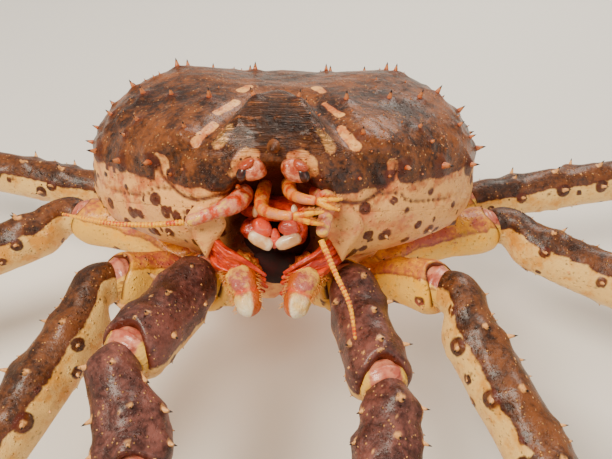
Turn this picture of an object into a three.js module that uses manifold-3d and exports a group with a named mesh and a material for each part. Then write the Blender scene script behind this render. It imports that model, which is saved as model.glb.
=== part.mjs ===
// A life-size red king crab that stands on its six walking legs with the front of the
// body raised. Millimetres, +Z up, the head towards -Y, the animal's left towards +X.
import * as THREE from 'three';
import { mergeVertices } from 'three/addons/utils/BufferGeometryUtils.js';
import Module from 'manifold-3d';

const wasm = await Module();
wasm.setup();

// Driving sizes
const HALF_WIDTH = 100;
const FRONT_LENGTH = 84;
const BACK_LENGTH = 82;
const DOME_HEIGHT = 47;
const KEEL_DEPTH = 33;
const GAP = 0.4;
const GUARD = 0.7;

// Stance
const NOSE_UP = THREE.MathUtils.degToRad(25);
const BODY_HEIGHT = 118;

// Sphere and tube finenesses
const BODY_COLUMNS = 52;
const BODY_ROWS = 32;
const LIMB_SIDES = 9;

const LEFT = 1;
const RIGHT = -1;
const SIDES = [[LEFT, 'left'], [RIGHT, 'right']];

const vec = (x, y, z) => new THREE.Vector3(x, y, z);
const UP_Y = vec(0, 1, 0);
const smooth = THREE.MathUtils.smoothstep;
const bump = (distance, width) => Math.exp(-((distance / width) ** 2));

// Colours from the photograph
const finish = (color, roughness) => new THREE.MeshStandardMaterial({ color, roughness, metalness: 0 });
const SHELL = finish('#5f4336', 0.35);
const BELLY = finish('#d9a878', 0.4);
const LIMB = finish('#7b5745', 0.35);
const JOINT = finish('#d8b45a', 0.4);
const EYEBALL = finish('#3a1d14', 0.15);
const FEELER = finish('#c8551f', 0.4);
const MOUTH = finish('#b33a1c', 0.35);
const CLAW = finish('#5a2f22', 0.3);

// Solids: joining and cutting closed meshes
function solidOf(geometry) {
  const bare = geometry.clone();
  bare.deleteAttribute('normal');
  bare.deleteAttribute('uv');
  const merged = mergeVertices(bare, 1e-4);
  return new wasm.Manifold(new wasm.Mesh({
    numProp: 3,
    vertProperties: merged.attributes.position.array,
    triVerts: new Uint32Array(merged.index.array),
  }));
}

function largestPiece(solid) {
  const pieces = solid.decompose();
  return pieces.reduce((best, piece) => (piece.volume() > best.volume() ? piece : best));
}

function geometryOf(solid) {
  const mesh = largestPiece(solid).getMesh();
  const geometry = new THREE.BufferGeometry();
  geometry.setAttribute('position', new THREE.BufferAttribute(new Float32Array(mesh.vertProperties), 3));
  geometry.setIndex(new THREE.BufferAttribute(new Uint32Array(mesh.triVerts), 1));
  return geometry;
}

const joined = (solids) => solids.reduce((whole, solid) => whole.add(solid));

// Every vertex of a geometry goes where place() puts it
function reshape(geometry, place) {
  const position = geometry.attributes.position;
  for (let i = 0; i < position.count; i += 1) {
    const moved = place(position.getX(i), position.getY(i), position.getZ(i));
    position.setXYZ(i, moved.x, moved.y, moved.z);
  }
  return geometry;
}

// The body shell, from above a blunt triangle with round hind corners
const HOOD = { halfTurn: 25, flare: 12, backRise: 77, corner: 16, height: 7 };
const CARDIAC = { y: 34, halfWidth: 21, halfLength: 30, height: 3 };
const BRANCHIAL = { x: 58, y: 16, halfWidth: 46, halfLength: 52, height: 8 };
const LOBE = { x: 37, y: -62, radius: 22, height: 6 };
const GROOVE_DEPTH = 5;
const GROOVE_WIDTH = 8;
const BOXINESS = 0.68;
const FRONT_TAPER = 0.42;
const FRONT_RISE = 18;
const POLE = 1e-6;

// Millimetres outside the edge of the hood, the raised field behind the snout
function outsideHood(turn, z, spread) {
  const rise = THREE.MathUtils.radToDeg(Math.asin(THREE.MathUtils.clamp(z, -1, 1)));
  const edge = HOOD.halfTurn + HOOD.flare * (1 - smooth(rise, 2, 28));
  const beside = (THREE.MathUtils.radToDeg(Math.abs(turn)) - edge) * 1.5 * spread;
  const behind = (rise - HOOD.backRise) * 1.3;
  return (beside + behind + Math.hypot(beside - behind, HOOD.corner)) / 2;
}

function domes(x, y, outside) {
  const cardiac = Math.hypot(x / CARDIAC.halfWidth, (y - CARDIAC.y) / CARDIAC.halfLength);
  const branchial = Math.hypot(
    (Math.abs(x) - BRANCHIAL.x) / BRANCHIAL.halfWidth, (y - BRANCHIAL.y) / BRANCHIAL.halfLength,
  );
  return HOOD.height * (1 - smooth(outside, -16, 3))
    + CARDIAC.height * bump(cardiac, 0.8)
    + BRANCHIAL.height * bump(branchial, 0.8);
}

// Where a direction from the middle of a unit ball meets the shell, grown by some millimetres
function bodyPoint(x, y, z, grow) {
  const level = Math.hypot(x, y);
  const turn = Math.atan2(x, -y);
  const spread = level < POLE ? 0 : level ** BOXINESS;
  const rise = Math.sign(z) * Math.abs(z) ** BOXINESS;
  const forward = Math.cos(turn);
  const taper = 1 - FRONT_TAPER * Math.max(forward, 0) ** 2;
  const sideways = Math.sign(x) * Math.abs(Math.sin(turn)) ** 0.9;
  const length = forward > 0 ? FRONT_LENGTH : BACK_LENGTH;
  const plan = vec(
    HALF_WIDTH * taper * sideways * spread,
    -length * Math.sign(forward) * Math.abs(forward) ** 0.86 * spread,
    0,
  );
  const height = rise > 0 ? DOME_HEIGHT * rise : KEEL_DEPTH * rise;
  const top = smooth(z, 0.05, 0.6);
  const outside = outsideHood(turn, z, spread);
  const groove = GROOVE_DEPTH * bump(outside, GROOVE_WIDTH);
  const lobe = LOBE.height * bump(Math.hypot(Math.abs(plan.x) - LOBE.x, plan.y - LOBE.y), LOBE.radius);
  const frontRise = FRONT_RISE * smooth(-plan.y, 20, FRONT_LENGTH) * (1 - Math.abs(rise)) * smooth(z, -0.5, 0.4);
  const lift = top * (domes(plan.x, plan.y, outside) - groove) + frontRise;
  const dent = groove * (1 - top) * smooth(z, -0.1, 0.1);
  const push = 1 + (grow + (lobe * smooth(z, -0.4, 0.3) - dent) * level) / Math.max(plan.length(), 20);
  return vec(plan.x * push, plan.y * push, height + lift + grow * Math.sign(z) * (1 - level));
}

function bodySolid(grow = 0) {
  const ball = new THREE.SphereGeometry(1, BODY_COLUMNS, BODY_ROWS);
  return solidOf(reshape(ball, (x, y, z) => bodyPoint(x, -z, y, grow)));
}

// Spines: short cones with a sunk root, the same seeded unevenness every time
const SPINE_SIDES = 5;
const SPINE_SINK = 0.35;
const SPINE_TAPER = 0.42;
let drawn = 7;

function uneven(amount) {
  drawn = (drawn * 16807) % 2147483647;
  return amount * (2 * (drawn / 2147483647) - 1);
}

function spine(root, direction, length) {
  const cone = new THREE.ConeGeometry(SPINE_TAPER * length, length * (1 + SPINE_SINK), SPINE_SIDES, 1);
  cone.translate(0, length * (0.5 - SPINE_SINK / 2), 0);
  cone.applyQuaternion(new THREE.Quaternion().setFromUnitVectors(UP_Y, direction));
  cone.translate(root.x, root.y, root.z);
  return solidOf(cone);
}

// A point of the body by degrees round from the front and degrees above its rim
function shellPoint(turn, rise, side) {
  const [t, r] = [turn, rise].map(THREE.MathUtils.degToRad);
  return bodyPoint(side * Math.sin(t) * Math.cos(r), -Math.cos(t) * Math.cos(r), Math.sin(r), 0);
}

function shellSpine(turn, rise, side, length) {
  const root = shellPoint(turn, rise, side);
  const along = shellPoint(turn + 1, rise, side).sub(root);
  const upward = shellPoint(turn, rise + 1, side).sub(root);
  const outward = along.cross(upward).multiplyScalar(side).normalize();
  return spine(root, outward, length);
}

// Rows on each half: from and to as degrees round and above the rim, how many, and how long
const SHELL_SPINES = [
  { from: [56, 19], to: [150, 22], count: 5, length: 4.5 },
  { from: [42, 7], to: [98, 12], count: 5, length: 6.5 },
  { from: [112, 10], to: [158, 12], count: 4, length: 5.5 },
  { from: [33, 33], to: [92, 30], count: 4, length: 5 },
  { from: [108, 34], to: [150, 38], count: 3, length: 5 },
  { from: [40, 60], to: [86, 47], count: 4, length: 5.5 },
  { from: [104, 62], to: [140, 58], count: 3, length: 5.5 },
  { from: [11, 48], to: [20, 66], count: 2, length: 5.5 },
  { from: [150, 76], to: [165, 54], count: 3, length: 5 },
];
const LOBE_SPINES = { from: [14, 3], to: [38, 4], count: 4, length: 3.6 };
const FLANK_SPINES = { from: [40, -14], to: [120, -34], count: 6, length: 3.4 };

function spineRow({ from, to, count, length }, side) {
  return Array.from({ length: count }, (_, index) => {
    const share = count > 1 ? index / (count - 1) : 0.5;
    const turn = THREE.MathUtils.lerp(from[0], to[0], share) + uneven(2);
    const rise = THREE.MathUtils.lerp(from[1], to[1], share) + uneven(2);
    return shellSpine(turn, rise, side, length * (1 + uneven(0.18)));
  });
}

// The scoop under the snout, where eyes, feelers and mouth sit
const SCOOP = { y: -94, z: -12, radii: [28, 36, 39] };

function ellipsoid(centre, radii, columns, rows) {
  const ball = new THREE.SphereGeometry(1, columns, rows);
  return solidOf(reshape(ball, (x, y, z) => vec(
    centre.x + radii[0] * x,
    centre.y - radii[1] * z,
    centre.z + radii[2] * y,
  )));
}

const scoopSolid = (shrink = 0) => ellipsoid(
  vec(0, SCOOP.y, SCOOP.z), SCOOP.radii.map((radius) => radius - shrink), 24, 16,
);

// Slabs on either side of the seam between carapace and flanks, which falls towards the back
const SEAM = { y: -30, z: -9, slope: Math.atan(0.25) };
const BLOCK = 400;

function halfSpace(upper, offset) {
  const box = new THREE.BoxGeometry(BLOCK, BLOCK, BLOCK);
  box.translate(0, 0, (upper ? 1 : -1) * (BLOCK / 2 + offset));
  box.rotateX(-SEAM.slope);
  box.translate(0, SEAM.y, SEAM.z);
  return solidOf(box);
}

function sideSpace(side) {
  const box = new THREE.BoxGeometry(BLOCK, BLOCK, BLOCK);
  box.translate(side * (BLOCK / 2 + GAP / 2), 0, 0);
  return solidOf(box);
}

// Limbs: a tube whose rings follow a centre line that leaves its parent squarely
const UP = vec(0, 0, 1);

// stations: [share of the length, half width across, half height]
function stationAt(stations, share) {
  const next = stations.findIndex((station) => station[0] >= share);
  if (next <= 0) return stations[0].slice(1);
  const [from, to] = [stations[next - 1], stations[next]];
  const mix = (share - from[0]) / (to[0] - from[0]);
  return [1, 2].map((k) => THREE.MathUtils.lerp(from[k], to[k], mix));
}

function limbFrame(limb, share) {
  const along = share * limb.length;
  const turned = smooth(along, 0, limb.neck);
  const tangent = limb.parentWay.clone().lerp(limb.way, turned).normalize();
  const centre = limb.start.clone()
    .addScaledVector(limb.parentWay, along * (1 - turned))
    .addScaledVector(limb.way, along * turned);
  const bow = (limb.bow ?? 0) * Math.sin(Math.PI * share) * (share > 0 ? 1 : 0);
  const across = UP.clone().cross(tangent).normalize();
  const upward = tangent.clone().cross(across);
  centre.addScaledVector(upward, bow);
  return { centre, tangent, across, upward };
}

function limbPoint(limb, share, angle, out = 1) {
  const { centre, across, upward } = limbFrame(limb, share);
  const [halfWidth, halfHeight] = stationAt(limb.stations, share);
  return centre
    .addScaledVector(across, out * halfWidth * Math.cos(angle))
    .addScaledVector(upward, out * halfHeight * Math.sin(angle));
}

function limbSolid(limb) {
  const rings = limb.stations.length;
  const tube = new THREE.CylinderGeometry(1, 1, 1, limb.sides ?? LIMB_SIDES, rings - 1);
  return solidOf(reshape(tube, (x, y, z) => {
    const step = Math.round((0.5 - y) * (rings - 1));
    return limbPoint(limb, limb.stations[step][0], Math.atan2(z, x), Math.min(Math.hypot(x, z), 1));
  }));
}

// Limb spines: rows at an angle round the segment (90 on top), leaning towards its end
const SPINE_LEAN = 0.45;

function limbSpines(limb) {
  return (limb.spines ?? []).flatMap(([angle, count, length]) => Array.from({ length: count }, (_, index) => {
    const share = 0.1 + (0.82 * (index + 0.5)) / count + uneven(0.02);
    const turned = THREE.MathUtils.degToRad(angle + uneven(6));
    const { centre, tangent } = limbFrame(limb, share);
    const root = limbPoint(limb, share, turned, 0.96);
    const outward = root.clone().sub(centre).normalize().addScaledVector(tangent, SPINE_LEAN).normalize();
    return spine(root, outward, length * (1 + uneven(0.2)));
  }));
}

// A way in the row frame: degrees from straight ahead towards the side, and above level
function way(side, aside, above) {
  const [a, e] = [aside, above].map(THREE.MathUtils.degToRad);
  return vec(side * Math.sin(a) * Math.cos(e), -Math.cos(a) * Math.cos(e), Math.sin(e));
}

// The body's own frame stands nose up in the row frame
const bodyFrame = new THREE.Matrix4()
  .makeTranslation(0, 0, BODY_HEIGHT)
  .multiply(new THREE.Matrix4().makeRotationX(-NOSE_UP));
const fromBody = (x, y, z) => vec(x, y, z).applyMatrix4(bodyFrame);
const wayFromBody = (x, y, z) => vec(x, y, z).transformDirection(bodyFrame);

const crab = new THREE.Group();
crab.name = 'red_king_crab';
const body = new THREE.Group();
body.applyMatrix4(bodyFrame);
crab.add(body);

function addNode(parent, name, solid, material) {
  const mesh = new THREE.Mesh(geometryOf(solid), material);
  mesh.name = name;
  parent.add(mesh);
}

// Carapace and flanks
const whole = bodySolid();
const scoop = scoopSolid();
const bodyKeepOut = bodySolid(GUARD).subtract(scoopSolid(GUARD));

// The snout: a main spine between the eyes, two beside it and one on top
const SNOUT = [
  { root: [0, -76, 31], way: [0, -1, 0.08], length: 17 },
  { root: [0, -72, 36], way: [0, -0.62, 0.78], length: 9 },
  { root: [6, -74, 36], way: [0.35, -0.8, 0.5], length: 7 },
  { root: [-6, -74, 36], way: [-0.35, -0.8, 0.5], length: 7 },
];

function addShell() {
  const spines = SIDES.flatMap(([side]) => [...SHELL_SPINES, LOBE_SPINES].flatMap((row) => spineRow(row, side)));
  const snout = SNOUT.map(({ root, way: direction, length }) => spine(vec(...root), vec(...direction).normalize(), length));
  const shell = whole.intersect(halfSpace(true, GAP / 2)).subtract(scoop);
  addNode(body, 'carapace', joined([shell, ...spines, ...snout]), SHELL);
  const lower = whole.intersect(halfSpace(false, GAP / 2)).subtract(scoop);
  SIDES.forEach(([side, name]) => {
    const spines = spineRow(FLANK_SPINES, side);
    addNode(body, `flank_${name}`, joined([lower.intersect(sideSpace(side)), ...spines]), BELLY);
  });
}

// Breastplate under the flanks, with a slanting facet for each limb
const PLATE = { y: -2, top: -KEEL_DEPTH - GAP, depth: 22 };
const PLATE_RIM = { top: { wide: 58, long: 52 }, low: { wide: 40, long: 40 } };
const FACET_EDGES = [12, 42, 68, 94, 122, 152];
const CORNERS = [...FACET_EDGES, ...FACET_EDGES.map((edge) => 360 - edge).reverse()];

function breastplatePoint(degrees, level, grow = 0) {
  const angle = THREE.MathUtils.degToRad(degrees);
  const wide = THREE.MathUtils.lerp(PLATE_RIM.top.wide, PLATE_RIM.low.wide, level) + grow;
  const long = THREE.MathUtils.lerp(PLATE_RIM.top.long, PLATE_RIM.low.long, level) + grow;
  const height = PLATE.top - PLATE.depth * level - (2 * level - 1) * grow;
  return vec(wide * Math.sin(angle), PLATE.y - long * Math.cos(angle), height);
}

function breastplateSolid(grow = 0) {
  const drum = new THREE.CylinderGeometry(1, 1, 1, CORNERS.length, 1);
  const step = 360 / CORNERS.length;
  return solidOf(reshape(drum, (x, y, z) => {
    const reach = Math.min(Math.hypot(x, z), 1);
    const corner = Math.round((THREE.MathUtils.radToDeg(Math.atan2(x, z)) + 360) / step) % CORNERS.length;
    const rim = breastplatePoint(CORNERS[corner], 0.5 - y, grow);
    return vec(rim.x * reach, PLATE.y + (rim.y - PLATE.y) * reach, rim.z);
  }));
}

// Tail folded under the body: a blunt egg that narrows towards the front
const TAIL = { y: 35, z: -37, radii: [50, 54, 29] };

function tailSolid(grow = 0) {
  const ball = new THREE.SphereGeometry(1, 18, 12);
  const [wide, long, high] = TAIL.radii.map((radius) => radius + grow);
  return solidOf(reshape(ball, (x, y, z) => {
    const narrow = 0.5 + 0.5 * smooth(-z, -0.9, 0.2);
    return vec(wide * x * narrow, TAIL.y - long * z, TAIL.z + high * y);
  }));
}

// The facet between two corners carries one limb: its middle and its outward way
function facet(side, index) {
  const [a, b] = [CORNERS[index], CORNERS[index + 1]];
  const corners = [[a, 0], [b, 0], [a, 1], [b, 1]].map(([angle, level]) => breastplatePoint(angle, level));
  const middle = corners.reduce((sum, corner) => sum.add(corner), vec(0, 0, 0)).multiplyScalar(1 / 4);
  const breadth = corners[1].clone().sub(corners[0]);
  const outward = breadth.cross(corners[2].clone().sub(corners[0])).normalize();
  if (outward.x < 0) outward.negate();
  const start = middle.addScaledVector(outward, GAP);
  return { start: fromBody(side * start.x, start.y, start.z), way: wayFromBody(side * outward.x, outward.y, outward.z) };
}

// A tube along a smooth curve, with its half width and half height at even steps
function curvedTube(points, widths, heights, sides, rings) {
  const curve = new THREE.CatmullRomCurve3(points.map((point) => vec(...point)));
  const between = (sizes, share) => {
    const place = share * (sizes.length - 1);
    const step = Math.min(Math.floor(place), sizes.length - 2);
    return THREE.MathUtils.lerp(sizes[step], sizes[step + 1], place - step);
  };
  const tube = new THREE.CylinderGeometry(1, 1, 1, sides, rings - 1);
  return solidOf(reshape(tube, (x, y, z) => {
    const share = 0.5 - y;
    const tangent = curve.getTangentAt(share);
    const lateral = Math.abs(tangent.x) > 0.8 ? vec(0, -1, 0) : vec(1, 0, 0);
    const upward = tangent.clone().cross(lateral).normalize();
    const across = upward.clone().cross(tangent);
    return curve.getPointAt(share)
      .addScaledVector(across, between(widths, share) * x)
      .addScaledVector(upward, between(heights, share) * z);
  }));
}

const roundTube = (points, radii, sides, rings) => curvedTube(points, radii, radii, sides, rings);

// Head pieces are given for the left side in the body's frame
const mirrored = (points, side) => points.map(([x, y, z]) => [side * x, y, z]);

// Mouth legs reach forward under the mouth and hang their blunt ends side by side
const MOUTH_LEG = [[13, -58, -33], [16, -74, -27], [13.5, -86, -26], [10.8, -92, -31], [9, -97, -38]];
const MOUTH_LEG_RADII = [8, 8, 6.8, 5.6, 4.2];

// One limb: a chain of segments, each from the end of the one before
function limbChain(side, facetIndex, parts) {
  const root = facet(side, facetIndex);
  let { start } = root;
  let parentWay = root.way;
  return parts.map((part) => {
    const end = part.end?.clone() ?? start.clone().addScaledVector(way(side, part.aside, part.above), part.length);
    const limbWay = end.clone().sub(start).normalize();
    const limb = { ...part, length: end.distanceTo(start), start, parentWay, way: limbWay };
    start = end.addScaledVector(limbWay, GAP);
    parentWay = limbWay;
    return limb;
  });
}

// Shares of a segment's length, with its half width and half height there for a limb of radius 1
const BASE_STATIONS = [[0, 0.74, 0.74], [0.3, 0.88, 0.86], [0.62, 0.84, 0.86], [0.88, 1.02, 1.04], [1, 0.88, 0.92]];
const MERUS_STATIONS = [
  [0, 0.7, 0.72], [0.09, 0.94, 0.96], [0.35, 0.98, 1.04], [0.7, 0.96, 1.02], [0.93, 1.04, 1.08], [1, 0.86, 0.9],
];
const CARPUS_STATIONS = [[0, 0.62, 0.62], [0.2, 0.84, 0.8], [0.55, 1, 0.96], [0.88, 1.04, 1], [1, 0.8, 0.8]];
const PROPODUS_STATIONS = [[0, 0.56, 0.58], [0.1, 0.8, 0.8], [0.45, 0.84, 0.82], [0.9, 0.78, 0.76], [1, 0.62, 0.62]];
const DACTYL_STATIONS = [
  [0, 0.48, 0.5], [0.1, 0.6, 0.62], [0.4, 0.5, 0.54], [0.75, 0.34, 0.36], [0.93, 0.2, 0.2], [1, 0.1, 0.1],
];
const PALM_STATIONS = [[0, 0.6, 0.62], [0.18, 0.95, 1], [0.5, 1.12, 1.32], [0.85, 1.05, 1.34], [1, 0.9, 1.22]];
const FINGER_STATIONS = [[0, 0.7, 0.58], [0.3, 0.66, 0.54], [0.7, 0.46, 0.4], [0.93, 0.24, 0.22], [1, 0.1, 0.1]];
const scaled = (stations, size) => stations.map(([share, wide, high]) => [share, wide * size, high * size]);

// Walking legs. baseEnd is in the body's frame. Other segments: length, degrees aside, degrees above level
const LEG_RADIUS = 13.4;
const TIP_LIFT = 0.6;
const LEGS = [
  {
    name: 'leg_1', facet: 1, radius: LEG_RADIUS, baseEnd: [79, -58, -41.5],
    merus: [142, 23.5, -11], carpus: [60, 30, -14], propodus: [112, 38, -16], dactyl: [92, 45],
  },
  {
    name: 'leg_2', facet: 2, radius: LEG_RADIUS, baseEnd: [118, 12, -34],
    merus: [150, 62, -6], carpus: [62, 62, -10], propodus: [118, 58, -12], dactyl: [96, 54],
  },
  {
    name: 'leg_3', facet: 3, radius: 0.94 * LEG_RADIUS, baseEnd: [111, 46, -30],
    merus: [138, 102, 2], carpus: [58, 106, -14], propodus: [112, 112, -18], dactyl: [92, 118],
  },
];

// The dactyl slopes just enough to set its tip on the floor
function tipOnFloor(heel, length, side, aside) {
  const above = -THREE.MathUtils.radToDeg(Math.asin((heel.z - TIP_LIFT) / length));
  return heel.clone().addScaledVector(way(side, aside, above), length);
}

const floorBox = new THREE.BoxGeometry(4 * BLOCK, 4 * BLOCK, BLOCK).translate(0, 0, -BLOCK / 2);
const floor = solidOf(floorBox);
function mouthLegSolids(grow = 0) {
  const [[x, y, z], ...rest] = MOUTH_LEG;
  const points = [[x, y + 4 * grow, z - grow], ...rest];
  return SIDES.map(([side]) => roundTube(
    mirrored(points, side), MOUTH_LEG_RADII.map((radius) => radius + grow), 10, 10,
  ));
}

const trunkKeepOut = joined([
  bodyKeepOut, breastplateSolid(GUARD), tailSolid(GUARD), ...mouthLegSolids(GUARD),
]);
const rowKeepOut = trunkKeepOut.transform(bodyFrame.elements);

// Angle round the segment, how many, and how long
const LEG_SPINES = {
  base: [[80, 2, 4.5]],
  merus: [[88, 4, 6.5], [38, 3, 5.5], [145, 4, 5.5], [5, 2, 4.5]],
  carpus: [[90, 2, 6], [40, 2, 5.5], [145, 1, 5]],
  propodus: [[90, 3, 5.5], [30, 3, 4.5], [150, 3, 4.5]],
};
const ARM_SPINES = {
  merus: [[80, 3, 6], [25, 2, 6], [140, 2, 6]],
  carpus: [[85, 3, 6], [25, 3, 6], [150, 3, 6]],
  palm: [[85, 3, 5], [30, 2, 5], [150, 3, 5]],
};

function segment(node, [length, aside, above], stations, radius, neck, rows) {
  return { node, length, aside, above, stations: scaled(stations, radius), neck, spines: rows[node] };
}

function addLeg(leg, side, sideName) {
  const { radius } = leg;
  const base = {
    node: 'base', end: fromBody(side * leg.baseEnd[0], leg.baseEnd[1], leg.baseEnd[2]),
    stations: scaled(BASE_STATIONS, radius), neck: 26, spines: LEG_SPINES.base,
  };
  const upper = limbChain(side, leg.facet, [
    base,
    segment('merus', leg.merus, MERUS_STATIONS, radius, 24, LEG_SPINES),
    segment('carpus', leg.carpus, CARPUS_STATIONS, radius, 22, LEG_SPINES),
    segment('propodus', leg.propodus, PROPODUS_STATIONS, radius, 20, LEG_SPINES),
  ]);
  const ankle = upper.at(-1);
  const heel = ankle.start.clone().addScaledVector(ankle.way, ankle.length + GAP);
  const [length, aside] = leg.dactyl;
  const toe = tipOnFloor(heel, length, side, aside);
  const dactyl = {
    node: 'dactyl', length, start: heel, parentWay: ankle.way, way: toe.sub(heel).normalize(),
    stations: scaled(DACTYL_STATIONS, radius), neck: 18, bow: 5,
  };
  [...upper, dactyl].forEach((limb) => {
    const solid = joined([limbSolid(limb), ...limbSpines(limb)]).subtract(limb.node === 'base' ? rowKeepOut : floor);
    addNode(crab, `${leg.name}_${sideName}_${limb.node}`, solid, limb.node === 'base' ? JOINT : LIMB);
  });
}

// Clawed arms, the right one heavier
const ARMS = {
  left: {
    side: LEFT, radius: 13, baseEnd: [33, -66, -38],
    merus: [55, 14, 3], carpus: [44, 0, -12], palm: [62, 6, -50], finger: [46, 2, -60],
  },
  right: {
    side: RIGHT, radius: 14, baseEnd: [35, -66, -37],
    merus: [53, 25, 10], carpus: [46, -14, -18], palm: [64, -50, -34], finger: [50, -52, -30],
  },
};

const TOOTH_SHARES = [0.32, 0.48, 0.62];
const TOOTH_LENGTH = 2;
const HALF_TURN = Math.PI / 2;

function addFingers(arm, palm, sideName) {
  const end = limbFrame(palm, 1);
  const [length, aside, above] = arm.finger;
  const forward = way(arm.side, aside, above);
  [['fixed', -1], ['moving', 1]].forEach(([name, edge]) => {
    const finger = {
      start: end.centre.clone().addScaledVector(end.upward, edge * 0.62 * arm.radius).addScaledVector(palm.way, GAP),
      parentWay: palm.way,
      way: forward.clone().addScaledVector(end.upward, edge > 0 ? 0.14 : -0.1).normalize(),
      length,
      stations: scaled(FINGER_STATIONS, arm.radius),
      neck: 16,
      bow: edge * 5,
    };
    const teeth = TOOTH_SHARES.map((share) => {
      const root = limbPoint(finger, share, -edge * HALF_TURN, 0.94);
      const inward = root.clone().sub(limbFrame(finger, share).centre).normalize();
      return spine(root, inward, TOOTH_LENGTH);
    });
    addNode(crab, `arm_${sideName}_${name}_finger`, joined([limbSolid(finger), ...teeth]), CLAW);
  });
}

function addArm(sideName, arm) {
  const { side, radius } = arm;
  const base = {
    node: 'base', end: fromBody(side * arm.baseEnd[0], arm.baseEnd[1], arm.baseEnd[2]),
    stations: scaled(BASE_STATIONS, radius), neck: 18,
  };
  const chain = limbChain(side, 0, [
    base,
    segment('merus', arm.merus, MERUS_STATIONS, radius, 20, ARM_SPINES),
    segment('carpus', arm.carpus, CARPUS_STATIONS, radius, 24, ARM_SPINES),
    segment('palm', arm.palm, PALM_STATIONS, radius, 30, ARM_SPINES),
  ]);
  chain.forEach((limb) => {
    const spined = joined([limbSolid(limb), ...limbSpines(limb)]);
    const solid = limb.node === 'base' ? spined.subtract(rowKeepOut) : spined;
    addNode(crab, `arm_${sideName}_${limb.node}`, solid, limb.node === 'base' ? JOINT : LIMB);
  });
  addFingers(arm, chain.at(-1), sideName);
}

const EYE = { x: 8.6, y: -86, z: 22.5, radius: 4.5, stalk: 3.4 };
const EYE_STALK = [[7.5, -60, 20], [7.8, -72, 21], [EYE.x, EYE.y, EYE.z]];

function addEyes() {
  SIDES.forEach(([side, name]) => {
    const stalk = roundTube(mirrored(EYE_STALK, side), [4, EYE.stalk, EYE.stalk], 10, 5);
    const ball = ellipsoid(vec(side * EYE.x, EYE.y, EYE.z), [EYE.radius, 5, EYE.radius], 12, 8);
    addNode(body, `eye_${name}`, stalk.add(ball).subtract(bodyKeepOut), EYEBALL);
  });
}

// Upper lip, throat and the two jaws
function addMouth() {
  const headKeepOut = joined([bodyKeepOut, breastplateSolid(GUARD), ...mouthLegSolids(GUARD)]);
  const lip = ellipsoid(vec(0, -66, 0), [17, 11, 5], 12, 6);
  const throat = ellipsoid(vec(0, -55, -13), [22, 12, 17], 12, 8);
  const jaws = SIDES.map(([side]) => ellipsoid(vec(side * 7.6, -72, -10), [7, 7, 6], 10, 6));
  addNode(body, 'mouth', joined([lip, throat, ...jaws]).subtract(headKeepOut), MOUTH);
}

// Long feelers: a jointed foot and a whip, each side as it lies in the photograph
const ANTENNAE = {
  left: {
    side: LEFT, foot: [[19, -72, 10], [22, -87, 9], [20, -96, -2]],
    whip: [[19.9, -96.8, -3], [26, -105, -14], [31.5, -111, -24], [34, -117, -36]],
  },
  right: {
    side: RIGHT, foot: [[14, -70, 8], [16, -81.5, 7], [25, -86, 4], [36, -87, 0]],
    whip: [[37, -87, -0.2], [52, -89, -1], [70, -86, -1.5], [92, -76, -1.6]],
  },
};
const WHIP_RADII = [1.3, 1.1, 0.9, 0.6];

// Short feelers: a stem and two prongs
const ANTENNULES = {
  left: {
    stem: [[5, -64, 11], [7, -82, 12], [12, -91, 12.5], [18, -94, 12.5]],
    prongs: [[[18, -94, 12.5], [23, -95, 13.5], [28, -95, 14]], [[18, -94, 12.5], [22.5, -96, 11], [27, -97, 10]]],
  },
  right: {
    stem: [[-5, -64, 11], [-5, -84, 6.5], [2, -95, 7], [9, -98, 7.5]],
    prongs: [[[9, -98, 7.5], [15, -99, 9], [21, -98, 9.5]], [[9, -98, 7.5], [15, -99, 5.5], [21, -98.5, 4.5]]],
  },
};

function addFeelers() {
  Object.entries(ANTENNAE).forEach(([name, antenna]) => {
    const foot = roundTube(mirrored(antenna.foot, antenna.side), [5, 4.4, 3, 2.6], 9, 7);
    addNode(body, `antenna_${name}`, foot.subtract(bodyKeepOut), FEELER);
    const whip = roundTube(mirrored(antenna.whip, antenna.side), WHIP_RADII, 6, 12);
    addNode(body, `antenna_whip_${name}`, whip.subtract(bodyKeepOut), FEELER);
  });
  Object.entries(ANTENNULES).forEach(([name, antennule]) => {
    const stem = roundTube(antennule.stem, [2.6, 2.2, 2, 1.6], 7, 7);
    const prongs = antennule.prongs.map((prong) => roundTube(prong, [1.5, 1.2, 0.6], 6, 5));
    addNode(body, `antennule_${name}`, joined([stem, ...prongs]).subtract(bodyKeepOut), FEELER);
  });
}

function addMouthLegs() {
  mouthLegSolids().forEach((leg, index) => {
    const guarded = leg.subtract(bodyKeepOut).subtract(breastplateSolid(GUARD));
    addNode(body, `maxilliped_${SIDES[index][1]}`, guarded, MOUTH);
  });
}

addShell();
addNode(body, 'breastplate', breastplateSolid(), BELLY);
addNode(body, 'tail', tailSolid().subtract(bodyKeepOut).subtract(breastplateSolid(2 * GUARD)), BELLY);
addEyes();
addMouth();
addMouthLegs();
addFeelers();
SIDES.forEach(([side, name]) => LEGS.forEach((leg) => addLeg(leg, side, name)));
Object.entries(ARMS).forEach(([name, arm]) => addArm(name, arm));

// The origin is on the floor, at the middle of the whole animal's reach
const reach = new THREE.Box3().setFromObject(crab);
crab.position.y = -(reach.min.y + reach.max.y) / 2;

export default crab;
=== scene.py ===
# Dresses a life-size red king crab: crust, joint skin, mouth, eyes and feelers
import functools
import math

import bmesh
import bpy
import numpy as np
from mathutils import Matrix, Vector, noise


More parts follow.
